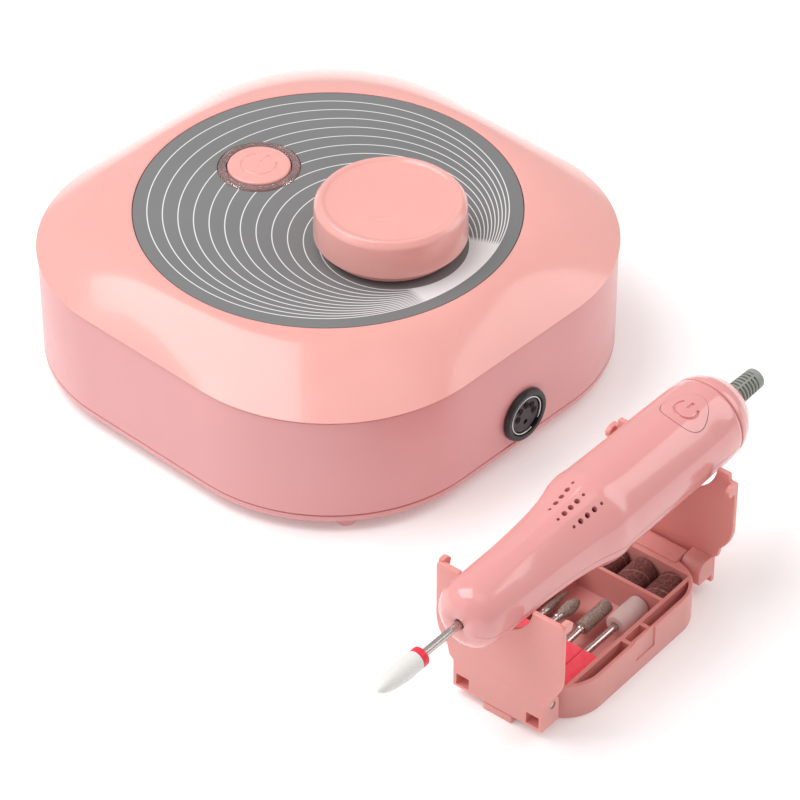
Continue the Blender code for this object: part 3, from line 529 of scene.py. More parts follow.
def circuit_material():
    """Small dark board seen through the light ring: traces, pads and solder."""
    n = Nodes("circuit")
    cell = n.cells(900)
    traces = n.span(cell, 0.03, 0.06, 1.0, 0.0)
    pads = n.span(n.noise(1500, 4), 0.62, 0.66, 0.0, 1.0)
    board = n.mix(traces, linear(196, 156, 152), linear(104, 74, 76))
    n.put("Base Color", n.mix(pads, board, linear(214, 205, 200)))
    n.put("Roughness", 0.35)
    n.bump(cell, 0.4, 0.0001)
    return n.material


def clear_material():
    """Clear, faintly pink moulding of the light ring."""
    n = Nodes("clear_ring")
    n.tone(700, 2, linear(226, 196, 195), linear(242, 218, 217))
    n.satin(2000, 2, 0.06, 0.14)
    n.put("Transmission Weight", 0.82)
    n.put("IOR", 1.3)
    return n.material


def frosted_material():
    """Milky rubber of the sanding mandrel."""
    n = Nodes("frosted_rubber")
    n.tone(300, 2, linear(242, 220, 217), linear(250, 234, 231))
    n.satin(900, 3, 0.42, 0.6)
    n.put("Transmission Weight", 0.3)
    n.put("IOR", 1.25)
    n.scatter(0.5, (0.004, 0.003, 0.003))
    return n.material


def grit_material():
    """Diamond grit bonded to steel."""
    n = Nodes("diamond_grit")
    size = 4600.0
    speck = n.parts(n.cells(size, "Color"), "Color")
    n.put("Base Color", n.mix(speck[0], linear(128, 114, 105), linear(192, 178, 167)))
    n.put("Metallic", 0.5)
    n.put("Roughness", n.span(speck[1], 0, 1, 0.25, 0.75))
    n.bump(n.cells(size), 0.9, 0.00016)
    return n.material


def band_material():
    """Brown abrasive cloth with the light glue line of its spiral joint."""
    n = Nodes("abrasive")
    size, pitch, slant, waver = 2400, 3.9, 0.55, 1.6
    place = n.parts(n.mapped(IN_CASE.translation, IN_CASE.to_euler(), IN_CASE.to_scale()))
    slope = n.plus(place["X"], n.times(place["Y"], slant))
    wobble = n.plus(slope, n.times(n.noise(900, 3), waver))
    seam = n.span(n.math("PINGPONG", wobble, pitch), 0.0, 0.26, 1.0, 0.0)
    speck = n.parts(n.cells(size, "Color"), "Color")
    cloth = n.mix(speck[0], linear(92, 50, 48), linear(142, 92, 86))
    n.put("Base Color", n.mix(n.times(seam, 0.6), cloth, linear(206, 168, 152)))
    n.put("Roughness", 0.9)
    n.bump(n.cells(size), 1.0, 0.00015)
    return n.material


def foam_material():
    """Coral red closed-cell foam."""
    n = Nodes("foam")
    n.tone(600, 4, linear(250, 64, 84), linear(255, 100, 116))
    n.put("Roughness", 0.95)
    n.put("Sheen Weight", 0.3)
    n.bump(n.cells(1900), 0.5, 0.00012)
    return n.material


PINK_COVER = plastic("pink_cover", (236, 170, 163), 0.2, coat=0.3, subsurface=0.12)
# the wall's pink, also used on the base and feet, is darker than the cover's: partly painted shade of the upright
# sides; its satin finish and light coat are the wall's own
PINK_WALL_SHADE = plastic("pink_wall_painted_shade", (222, 157, 157), 0.34, coat=0.15, grain=0.02, subsurface=0.08)
PINK_TOOL = plastic("pink_tool", (231, 158, 156), 0.2, coat=0.6, subsurface=0.15)
PINK_CASE = plastic("pink_case", (222, 155, 149), 0.4, coat=0.08, grain=0.2, subsurface=0.6)
PANEL = panel_material()
CIRCUIT = circuit_material()
CLEAR = clear_material()
BLACK = plastic("black_plastic", (34, 28, 30), 0.34, grain=0.3)
HOLE_BLACK = plastic("socket_black", (58, 50, 52), 0.5, grain=0.3)
# colour of the sheet behind the vents: painted shade in the holes
VENT_SHADE = plastic("vent_painted_shade", (116, 44, 52), 0.5)
STEEL = metal("steel", (0.66, 0.66, 0.67), 0.20)
SHANK = metal("ground_steel", (0.62, 0.59, 0.57), 0.26, grain=0.03, brushed=(1, 12, 12))
ALUMINIUM = metal("aluminium", (0.74, 0.74, 0.76), 0.34)
SLEEVE = plastic("sleeve_rubber", (146, 150, 143), 0.62, grain=0.8)
CERAMIC = plastic("ceramic", (228, 227, 223), 0.42, grain=1.0, subsurface=0.1)
RED = plastic("red_ring", (236, 40, 62), 0.35, coat=0.2)
BOARD = plastic("board_green", (38, 110, 62), 0.4, coat=0.3)
GRIT = grit_material()
DRUM = frosted_material()
BAND = band_material()
FOAM = foam_material()
LED = plastic("led_resin", (246, 236, 205), 0.3, coat=0.3)
FINISHES = {
    "black_plastic": BLACK, "steel": STEEL, "aluminium": ALUMINIUM, "board_green": BOARD,
    "pink_gloss": PINK_TOOL, "pink_shell": PINK_WALL_SHADE, "case_pink": PINK_CASE, "panel_grey": PANEL,
    "clear_plastic": CLEAR, "sleeve_grey": SLEEVE, "ceramic": CERAMIC, "ring_red": RED,
    "foam_red": FOAM, "burr_grey": GRIT, "drum_white": DRUM, "band_brown": BAND,
}


def plain_nodes():
    """Better finishes for the CAD solids that stay as they are: inner pieces and screws."""
    for node, obj in frame["nodes"].items():
        obj.data.materials.clear()
        obj.data.materials.append(FINISHES[SLOTS[node]])


# ---- Control unit ----
CORNER = 55.0
PANEL_R = 60.1
PANEL_LIP = PANEL_R + 0.3
ROUND = 192
WALL_IN = 0.4  # the wall stands this far behind the cover's rim


def square_radius(angle, half, corner):
    """Distance from the middle to a rounded square's edge in one direction."""
    c, s = abs(cos(angle)), abs(sin(angle))
    if c < s:
        c, s = s, c
    straight = half - corner
    if half * s / c <= straight:
        return half / c
    b = straight * (c + s)
    return b + sqrt(b * b - 2 * straight * straight + corner * corner)


def section(z, share, round_r=PANEL_R, inset=0.0):
    """A ring between a circle (share 0) and the unit's rounded square (share 1)."""
    ring = []
    for i in range(ROUND):
        a = 2 * pi * (i + 0.5) / ROUND
        r = (1 - share) * (round_r - inset) + share * square_radius(a, HALF - inset, CORNER - inset)
        ring.append((r * cos(a), r * sin(a), z))
    return ring


def squares(levels):
    """Rounded squares of the wall, given as (height, distance behind the wall's face)."""
    return [section(z, 1, inset=WALL_IN + inset) for z, inset in levels]


def cover():
    """Glossy cover: flush with the panel inside, a rounded square at its sharp rim."""
    rise = PANEL_Z - RIM_Z
    rows, power, wall_t = 26, 1.5, 3.2
    rings = [section(RIM_Z, 1, inset=0.5), section(RIM_Z + 0.15, 1, inset=0.05)]
    for k in range(rows + 1):
        share = 1 - k / rows
        z = RIM_Z + 0.35 + (rise - 0.25) * (1 - share**power)
        rings.append(section(z, share, round_r=PANEL_LIP + 1.4))
    for z, out in ((0.16, 0.9), (0.16, 0.35), (0.02, 0), (-1.5, 0), (-1.5, -4), (-wall_t, -4)):
        rings.append(section(PANEL_Z + z, 0, round_r=PANEL_LIP + out))
    for k in range(9):
        share = k / 8
        z = RIM_Z + (rise - wall_t) * (1 - share**power)
        rings.append(section(z, share, round_r=PANEL_LIP, inset=2.4))
    solid("cover_top", skin(rings, closed=True), UNIT, PINK_COVER, "control_unit", ["top_cover"],
          sharp=40)


def wall():
    """Upright side wall with rounded edges and the two round openings."""
    low, high = SEAM_Z + 0.35, RIM_Z - 0.35
    rings = squares(((low, 0.3), (low + 0.12, 0.08), (low + 0.4, 0), (high - 0.4, 0), (high - 0.12, 0.08),
                     (high, 0.3), (high, 2.2), (low, 2.2)))
    made = solid("wall_shell", skin(rings, closed=True), UNIT, PINK_WALL_SHADE, "control_unit", ["side_shell"],
                 sharp=40)
    combine(made, [(rod(radius, -8, 8), UNIT @ shift(x, y, z) @ turn(90, "X")) for x, y, z, radius in (
        (SOCKET.x, -HALF, SOCKET.z, 8.2), (INLET.x, HALF, INLET.z, 4.3))], sharp=40)


def base():
    """Base plate with its rounded lower edge; the feet stand on it."""
    edge, screw_r, head_r = 2.6, 1.8, 3.1
    levels = [(BASE_Z, 3.4)]
    for k in range(7):
        a = pi / 2 * k / 6
        levels.append((BASE_Z + edge * (1 - cos(a)), edge * (1 - sin(a))))
    levels += [(SEAM_Z - 0.15, 0), (SEAM_Z, 0.2), (SEAM_Z, 2.2), (BASE_Z + 2, 3.2)]
    made = solid("base_shell", skin(squares(levels)), UNIT, PINK_WALL_SHADE, "control_unit", ["base_plate"],
                 sharp=40)
    bore = [(0, 0), (head_r, 0), (head_r, BASE_Z + 0.6), (screw_r, BASE_Z + 0.7), (screw_r, 9), (0, 9)]
    combine(made, [(lathe(bore, segments=32), under(f"cover_screw_{i}")) for i in range(1, 5)], sharp=40)


def feet():
    """Moulded feet: a low skirt with a rounded pad."""
    for i in range(1, 5):
        node = f"foot_{i}"
        top = unit_z(node)
        turned(f"foot_pad_{i}", [(0, top), (3.9, top, 0.1), (3.7, top - 0.7, 0.3), (3.0, 0, 0.8), (0, 0)],
               under(node), PINK_WALL_SHADE, "control_unit", [node], segments=40)


def panel():
    """Printed disc, open round the light ring and the potentiometer."""
    low = PANEL_Z - 1.2
    plate = [(0, PANEL_Z), (PANEL_R, PANEL_Z, 0.12), (PANEL_R, low), (0, low)]
    made = turned("panel_plate", plate, UNIT, PANEL, "control_unit", ["panel_disc"], segments=ROUND)
    openings = ((BUTTON_Y, 13.15), (KNOB_Y, 5))
    combine(made, [(rod(radius, 50, 60), UNIT @ shift(0, y, 0)) for y, radius in openings])


def power_sign(scale, at, depth, radius):
    """Groove cutters for the round power sign; its bar points along +X."""
    gap, steps = 48, 40
    arc = [polar(scale, gap + (360 - 2 * gap) * k / steps) for k in range(steps + 1)]
    bar = [(scale * x, 0, depth(0)) for x in (0.18, 0.4, 0.7, 1.0)]
    return [(tube([(x, y, depth(y)) for x, y in arc], radius), at), (tube(bar, radius), at)]


def unit_button():
    """Power button, its clear ring, and the small board with lamps under the ring."""
    at = UNIT @ shift(0, BUTTON_Y, 0)
    top, low = PANEL_Z + 0.95, PANEL_Z - 3.2
    cap_r, ring_in, ring_out = 9.95, 10.35, 12.9
    path = [(0, top + 0.25), (7, top + 0.08), (cap_r, top - 0.05, 0.7), (cap_r, low), (0, low)]
    button = turned("button_cap", path, at, PINK_COVER, "unit_button", ["power_button"], segments=128,
                    steps=6)
    combine(button, power_sign(5.5, at @ turn(10, "Z"), lambda y: top + 0.4, 0.55))
    ring = [(ring_in, PANEL_Z + 0.45, 0.25), (12.5, PANEL_Z + 0.5, 0.3), (ring_out, PANEL_Z - 0.1),
            (ring_out, PANEL_Z - 2.2), (ring_in, PANEL_Z - 2.2)]
    turned("ring_window", ring, at, CLEAR, "control_unit", ["light_ring"], segments=128, closed=True)
    board_z = PANEL_Z - 4.2
    rims = [[polar(r, 360 * i / steps) for i in range(steps)] for r, steps in ((14.5, 64), (10.25, 48))]
    board = slab(rims, board_z - 1.2, board_z, edge=0.1)
    solid("lamp_board", board, at, CIRCUIT, "control_unit", (), "board_green")
    count = 12
    for i in range(count):
        spot = at @ turn(360 * (i + 0.3) / count, "Z") @ shift(11.6, 0, board_z)
        half = 0.5 if i % 3 else 0.8
        solid(f"lamp_{i}", block((-0.6, -half, 0.02), (0.6, half, 0.7), 0.12), spot, LED if i % 2 else STEEL,
              "control_unit", (), "board_green")


def knob():
    """Large speed knob: a dished top with a finger dimple, and a stepped skirt."""
    at = UNIT @ shift(0, KNOB_Y, 0)
    low, top = unit_z("speed_knob", top=False), unit_z("speed_knob")
    skirt = low + 3.0
    dish_r, dish_z, dish_rise, rows = 20.2, top - 1.3, 1.1, 14
    dish = []
    for k in range(rows + 1):
        a = pi / 2 * k / rows
        dish.append((dish_r * sin(a), dish_z + dish_rise * (1 - cos(a))))
    edge = [dish[-1], (21.7, top + 0.15, 1.0), (23.3, top - 1.6, 1.7), (23.7, skirt + 0.2, 0.5),
            (23.2, skirt, 0.3), (21.2, skirt, 0.3), (20.8, low, 0.3), (18.8, low, 0.3), (18.8, top - 4.2),
            (7.5, top - 4.2), (6.5, low + 4), (3.3, low + 4), (3.3, top - 3), (0, top - 3)]
    cap = lathe(dish[:-1] + fillet(edge, steps=8), segments=ROUND)
    made = solid("knob_cap", cap, at, PINK_COVER, "knob", ["speed_knob"], sharp=38)
    ball_r = 30
    arc = (pi * k / 90 for k in range(91))
    ball = lathe([(ball_r * sin(a), -ball_r * cos(a)) for a in arc])
    dimple = at @ shift(-7.5, -4.1, top + 28.5) @ turn(-47, "Z") @ Matrix.Diagonal((1.3, 0.45, 1, 1))
    combine(made, [(ball, dimple)], sharp=38)


def socket():
    """Round five-pin socket: moulded bezel, C-shaped metal shield and the insert with its pin holes."""
    at = UNIT @ shift(SOCKET.x, -HALF + WALL_IN, SOCKET.z) @ turn(90, "X")
    face, back, floor = 2.2, -11.8, -6
    bezel = [(0, floor), (6.95, floor), (6.95, face - 0.1, 0.25), (8.6, face - 0.1, 0.6), (9.1, 0.35, 0.3),
             (7.9, 0.3), (7.9, back), (0, back)]
    turned("socket_bezel", bezel, at, BLACK, "control_unit", ["socket_housing"])
    core_z, core_back, pin_circle = 1.2, -5.6, 3.6
    insert = [(0, core_z), (5.95, core_z, 0.3), (5.95, core_back), (0, core_back)]
    made = turned("socket_core", insert, at, HOLE_BLACK, "control_unit", ["socket_insert"], segments=80)
    hole = [(0, 2), (1.3, 2), (1.3, 0.9), (0.95, 0.4), (0.95, -5), (0, -5)]
    cuts = [(lathe(hole, segments=24), at @ shift(*polar(pin_circle, 45 * i), 0)) for i in range(5)]
    key = lathe([(0, 2), (0.9, 2), (0.9, 0), (0, 0)], segments=24)
    combine(made, cuts + [(key, at @ shift(0, -2.6, 0))])
    start, end, steps = -36, 292, 60
    outline = [polar(6.6, start + (end - start) * k / steps) for k in range(steps + 1)]
    outline += [polar(6.15, end + (start - end) * k / steps) for k in range(steps + 1)]
    solid("socket_ring", slab([outline], core_back, face - 0.5, edge=0.1), at, STEEL, "control_unit",
          ["socket_shield"])


def inlet():
    """Low-voltage jack at the back."""
    at = UNIT @ shift(INLET.x, HALF - WALL_IN, INLET.z) @ turn(-90, "X")
    face, floor, back = 1.25, -7, -10.8
    jack = [(0, 0.4), (0.6, 0.3, 0.2), (1.0, -0.3), (1.0, floor), (2.9, floor), (2.9, face, 0.2),
            (5.2, face, 0.4), (5.6, 0.32, 0.2), (4.0, 0.3), (4.0, back), (0, back)]
    turned("inlet_jack", jack, at, BLACK, "control_unit", ["power_inlet"], segments=64)


# ---- Handpiece ----
OUTLINE = (  # distance from the nose, radius
    (0.0, 5.0), (0.3, 5.9), (1.0, 7.1), (1.7, 8.1), (2.6, 9.0), (3.6, 9.6), (5.0, 10.1), (8.0, 10.45),
    (14.0, 10.65), (25.0, 10.85), (36.0, 11.45), (42.0, 12.05), (47.0, 12.8), (50.0, 13.4), (54.0, 14.4),
    (56.5, 14.75), (58.5, 14.65), (61.0, 14.4), (76.0, 14.2), (90.0, 14.1), (100.0, 13.95), (108.0, 13.75),
    (112.0, 13.45),
)
FACETING = (  # distance from the nose, share of the way from round to faceted
    (0, 0.0), (5, 0.0), (16, 0.2), (28, 0.6), (44, 0.62), (60, 0.28), (68, 0.22), (100, 0.34), (108, 0.1),
    (120, 0.0),
)
CREASES = (11, 56, 101, 146)  # degrees from the top, on both sides
SEAM_T = 112.5
BUTTON_T = 99.3
SHANK_R = 1.17


def spoke(radius, degrees, t):
    """A point round the handpiece's axis; degrees run from the top towards +X."""
    a = radians(degrees)
    return radius * sin(a), radius * cos(a), t


def stretch(path, t):
    """Where t falls in a path of (place, value): the share of a stretch, and the values at its ends."""
    for (t0, v0), (t1, v1) in zip(path, path[1:]):
        if t <= t1 + 1e-9:
            return (t - t0) / (t1 - t0), v0, v1
    return 1.0, path[-2][1], path[-1][1]


def body_radius(t):
    """Smooth radius along the body, through the outline's points."""
    for index, ((t0, r0), (t1, r1)) in enumerate(zip(OUTLINE, OUTLINE[1:])):
        if t <= t1:
            f = (t - t0) / (t1 - t0)
            before = OUTLINE[max(index - 1, 0)]
            after = OUTLINE[min(index + 2, len(OUTLINE) - 1)]
            slope0 = (r1 - before[1]) / max(t1 - before[0], 1e-6) * (t1 - t0)
            slope1 = (after[1] - r0) / max(after[0] - t0, 1e-6) * (t1 - t0)
            h = f * f
            return (r0 * (1 + 2 * f) * (1 - f) ** 2 + slope0 * f * (1 - f) ** 2
                    + r1 * h * (3 - 2 * f) + slope1 * h * (f - 1))
    return OUTLINE[-1][1]


def body_point(t, degrees):
    """A point of the handpiece's skin."""
    around = abs((degrees + 180) % 360 - 180)
    edges = (-CREASES[0], *CREASES, 360 - CREASES[-1])
    for low, high in zip(edges, edges[1:]):
        if around <= high:
            half = radians(high - low) / 2
            off = radians(around) - radians(low + high) / 2
            flat = cos(half) / cos(off)
            break
    f, k0, k1 = stretch(FACETING, t)
    k = k0 + (k1 - k0) * f * f * (3 - 2 * f)
    return spoke(body_radius(t) * (1 - k + k * flat), degrees, t)


def body_shells():
    """Upper and lower shells: the outer skin, an inner skin, and the parting line at the sides."""
    stations = [0.3, 0.6, 1.0, 1.5, 2.0, 2.6, 3.4, 4.6, 6.0, 7.5, 9.5] + [12 + 2.0 * k for k in range(17)]
    stations += [45 + 1.2 * k for k in range(20)] + [70 + 2.5 * k for k in range(16)] + [109.5, 111.0, 111.9]
    nose = ((1.5, 3.4), (1.5, 1.0), (1.6, 0.7), (1.9, 0.45), (2.6, 0.22), (3.6, 0.06), (4.6, 0.05))
    end = SEAM_T - 0.1
    inner = ((13.0, end), (11.8, end), (12.3, 90), (12.6, 62), (12.4, 55), (10.6, 46), (9.7, 36), (8.9, 14),
             (8.5, 7), (6.4, 3.9))
    steps, parting = 88, 0.35
    for name, node, start in (("shell_upper", "upper_shell", -90), ("shell_lower", "lower_shell", 90)):
        angles = [start + parting + (180 - 2 * parting) * k / steps for k in range(steps + 1)]
        rows = [[spoke(r, d, t) for d in angles] for r, t in nose]
        rows += [[body_point(t, d) for d in angles] for t in stations]
        rows += [[spoke(r, d, t) for d in angles] for r, t in inner]
        bm = bmesh.new()
        rows = [[bm.verts.new(p) for p in row] for row in rows]
        rows.append(rows[0])
        for a, b in zip(rows, rows[1:]):
            for i in range(steps):
                bm.faces.new((a[i], a[i + 1], b[i + 1], b[i]))
        for side in (0, steps):
            bm.faces.new([row[side] for row in rows[:-1]])
        made = solid(name, bm, HANDPIECE, PINK_TOOL, "handpiece", [node], sharp=48)
        if node == "upper_shell":
            pierce_vents(made)
            combine(made, [(slab([button_outline(0.16)], 6, 22, edge=0.01), on_top(BUTTON_T))], sharp=48)


def pierce_vents(shell):
    """Three rows of five holes on the shoulder, the end ones smaller."""
    pitch, end_r, hole_r = 2.7, 0.5, 0.85
    cuts = []
    for column, start in ((-22, 43.2), (0, 41.3), (22, 43.2)):
        for i, radius in enumerate((end_r, hole_r, hole_r, hole_r, end_r)):
            at = HANDPIECE @ turn(-column, "Z") @ shift(0, 0, start + pitch * i) @ turn(-90, "X")
            cuts.append((rod(radius, 8, 20, segments=20), at))
    combine(shell, cuts, sharp=48)


def shade_behind_vents():
    """Dark red-brown sheet behind the vents: painted shade seen through the holes."""
    path = [(9.3, 37), (10.35, 46), (12.1, 55), (11.8, 55), (10.0, 46), (9.0, 37)]
    solid("vent_shade_screen", lathe(path, closed=True), HANDPIECE, VENT_SHADE, "handpiece", (), "pink_gloss")


def button_outline(grow):
    """Full rounded triangle with one corner towards the cord (+X)."""
    points = []
    for k in range(72):
        a = 2 * pi * k / 72
        r = 6.85 + grow + 0.5 * cos(3 * a)
        points.append((r * cos(a), r * sin(a)))
    return points


def on_top(t):
    """Frame on the handpiece's axis with +Z up through its top and +X towards the cord end."""
    return HANDPIECE @ shift(0, 0, t) @ Matrix(((0, 1, 0), (0, 0, 1), (1, 0, 0))).to_4x4()


def tool_button():
    """The handpiece's power button, level with the skin round it, with an engraved sign."""
    at = on_top(BUTTON_T)
    made = solid("tool_button_cap", slab([button_outline(0)], 8, 17, edge=0.05), at, PINK_TOOL, "tool_button",
                 ["handpiece_button"], sharp=40)
    proud, skin_r, hollow_r = 1.008, 14.0, 12.7
    rings = []
    for i in range(24):
        around = (body_point(82 + 1.5 * i, 3.0 * k) for k in range(120))
        rings.append([(x * proud, y * proud, z) for x, y, z in around])
    combine(made, [(skin(rings), HANDPIECE)], sharp=40, operation="INTERSECT")
    sign = power_sign(3.45, at, lambda y: sqrt(skin_r**2 - y * y) - 0.1, 0.5)
    combine(made, [(rod(hollow_r, 80, 118), HANDPIECE), *sign], sharp=40)
    rounding(made, 0.12)


def end_cap():
    """Domed cap behind a fine groove."""
    low = SEAM_T + 0.15
    path = [(12.7, low), (13.25, low + 0.35, 0.3), (13.1, 114.4, 3), (12.2, 116.9, 4), (9.9, 120.3, 5),
            (6.4, 123.4, 4), (4.5, 124.6, 0.5), (4.0, 123.4), (6.0, 121.6), (9.4, 118), (11.2, 114),
            (11.4, low)]
    turned("cap_rear", path, HANDPIECE, PINK_TOOL, "handpiece", ["end_cap"], sharp=40, segments=128,
           closed=True, steps=7)


def cord_sleeve():
    """Grey bend relief with staggered slots."""
    rows, around = 180, 144
    low, high, bore_r = 121.0, 137.0, 1.9
    angles = [360.0 * k / around for k in range(around)]
    rings = [[spoke(bore_r, d, low) for d in angles]]
    for i in range(rows + 1):
        t = low + (high - low) * i / rows
        r = 3.72 - 0.46 * (t - low) / (high - low) - 0.9 * max(0.0, (t - high + 0.7) / 0.7) ** 2
        rings.append([spoke(r - (0.85 if in_slot(t, d) else 0), d, t) for d in angles])
    rings.append([spoke(bore_r, d, high) for d in angles])
    solid("sleeve_boot", skin(rings, closed=True), HANDPIECE, SLEEVE, "handpiece", ["cord_sleeve"],
          sharp=50)


def in_slot(t, degrees):
    """Whether a place of the sleeve is in a slot: four columns of slots, neighbours staggered."""
    first, last, pitch, half_arc = 123.6, 134.4, 1.45, 38
    column = int(((degrees + 10) % 360) // 90)
    off = abs((degrees + 10) % 90 - 45)
    if column % 2:
        first += pitch / 2
    return first <= t <= last and off <= half_arc and 0.25 < (t - first) % pitch < 0.95


def fitted_bit():
    """Ground steel shank, red grit ring and cross-cut ceramic bullet."""
    solid("bit_stem", rod(SHANK_R, 20, -24, segments=48), HANDPIECE, SHANK, "spindle", ["bit_shank"])
    bore, base_t, tip_t = 1.3, 17.6, 33.5
    ring = [(bore, -15.2), (2.8, -15.2, 0.2), (3.0, -15.5, 0.2), (3.0, -17.5, 0.1), (bore, -17.5)]
    turned("bit_band", ring, HANDPIECE, RED, "spindle", ["bit_ring"], segments=64, closed=True)
    outline = ((base_t, 2.95), (19.0, 3.08), (21.5, 3.15), (24.0, 3.08), (26.5, 2.88), (28.5, 2.6),
               (30.3, 2.2), (31.7, 1.72), (32.6, 1.22), (33.2, 0.7), (tip_t, 0.0))
    rows, around, cut = 150, 168, 0.07
    rings = [[spoke(bore, 360 * k / around, -base_t) for k in range(around)]]
    for i in range(rows):
        t = base_t + 15.88 * (i / rows)
        f, r0, r1 = stretch(outline, t)
        radius = r0 + (r1 - r0) * (f if r1 else 1 - sqrt(max(0.0, 1 - f * f)))
        depth = cut * min(1.0, radius / 2.0)
        ring = []
        for k in range(around):
            a = 2 * pi * k / around
            flute = 1 - abs(sin(14 * a - t * 2.1)) ** 0.6
            cross = 1 - abs(sin(20 * a + t * 3.4)) ** 0.6
            ring.append(spoke(radius - depth * flute - depth * 0.7 * cross, 360 * k / around, -t))
        rings.append(ring)
    rings.append([(0, 0, -tip_t)])
    solid("bit_bullet", skin(rings), HANDPIECE, CERAMIC, "spindle", ["bit_head"], sharp=60)


# ---- Bit case ----
TRAY_L, TRAY_W, TRAY_CORNER, TRAY_H = 33.4, 20.4, 13.5, 12.3
FLOOR = 1.6
KNUCKLE_R = 2.8
PIN_HOLE_R = 1.25
BIT_Z = 5.6
MANDREL_V, MANDREL_Z = -8.0, 7.0
STORED = (  # name, across the case, nose along the case, yaw, head as (distance behind the nose, radius)
    ("cone_bit", 12.7, 8.5, 0, ((0, 0), (0.3, 0.3), (1.5, 0.6), (5, 1.0), (9, 1.3), (11, 1.4), (11.6, 1.25))),
    ("flame_bit", 7.7, 7.1, -2.5, ((0, 0), (0.3, 0.7), (1.0, 1.25), (2.2, 1.8), (3.6, 2.08), (5, 2.1),
                                   (6.6, 1.85), (8.2, 1.5), (9.6, 1.25))),
    ("barrel_bit", 0.1, 10.7, 1, ((0, 0), (0.05, 1.9), (0.35, 2.2), (12.6, 2.2), (12.95, 1.9), (13, 1.25))),
)


def rounded_rectangle(half_u, half_v, corner, steps=12):
    points = []
    for su, sv, start in ((1, 1, 0), (-1, 1, 90), (-1, -1, 180), (1, -1, 270)):
        for k in range(steps + 1):
            x, y = polar(corner, start + 90 * k / steps)
            points.append((su * (half_u - corner) + x, sv * (half_v - corner) + y))
    return points


def pin_frame(side):
    """On a hinge pin of the tray, +Z along it."""
    return CASE @ shift(side * PIN_U, 0, PIN_Z) @ turn(90, "X")


def tray():
    """Tray with two bays, narrow side channels, catch slots, grips, and a hinge knuckle at each end."""
    made = solid("tray_body", slab([rounded_rectangle(TRAY_L, TRAY_W, TRAY_CORNER)], 0, TRAY_H, 0.45), CASE,
                 PINK_CASE, "bit_case", ["case_tray"], sharp=40)
    root, end, top, joined = TRAY_L - 2, PIN_U + KNUCKLE_R, PIN_Z + KNUCKLE_R, []
    knuckle = fillet([(root, 0.5), (end, 0.5, 0.4), (end, top, 2.7), (root, top)], closed=True, steps=8)
    for degrees in (0, 180):
        at = CASE @ turn(degrees, "Z")
        joined.append((slab([knuckle], -8.7, 8.7, 0.3), at @ turn(90, "X")))
        joined.append((block((root, -5, 0.02), (PIN_U + 4.9, 5, 2.65), 0.25), at))
    combine(made, joined, sharp=40, operation="UNION")
    top = TRAY_H + 4
    cuts = [(block((u0, -15, FLOOR), (u1, 15, top), 0.5), CASE) for u0, u1 in ((-29.6, 15.7), (16.9, 29.6))]
    inner, outer, bridge = 16.2, 19.1, 5.0
    corner = TRAY_CORNER - (TRAY_W - outer)
    cu, cv = TRAY_L - TRAY_CORNER, TRAY_W - TRAY_CORNER
    reach = asin((inner - cv) / corner)
    pocket = [(bridge, inner)]
    for k in range(17):
        a = reach + (pi / 2 - reach) * k / 16
        pocket.append((cu + corner * cos(a), cv + corner * sin(a)))
    pocket.append((bridge, outer))
    for su in (-1, 1):
        for sv in (-1, 1):
            cuts.append((slab([[(su * u, sv * v) for u, v in pocket]], FLOOR, top, 0.05), CASE))
    for sv, grip in ((-1, -3), (1, -6)):
        low, high = sorted((sv * inner, sv * outer))
        cuts.append((block((-3.7, low + 0.3, TRAY_H - 3.6), (3.7, high - 0.1, top), 0.05), CASE))
        low, high = sorted((sv * (TRAY_W - 0.6), sv * (TRAY_W + 2)))
        cuts.append((block((grip, low, 5), (grip + 9, high, top), 0.2), CASE))
    cuts += [(rod(PIN_HOLE_R, -20, 20, segments=32), pin_frame(side)) for side in (-1, 1)]
    combine(made, cuts, sharp=40)
    rounding(made, 0.14)


def hinge_pins():
    for name, side, end in (("front_hinge_pin", -1, 15.65), ("rear_hinge_pin", 1, 15.1)):
        turned(name.replace("_hinge", "_steel"), [(0, end), (1.0, end, 0.25), (1.0, -end, 0.25), (0, -end)],
               pin_frame(side), STEEL, "bit_case", [name], segments=40)


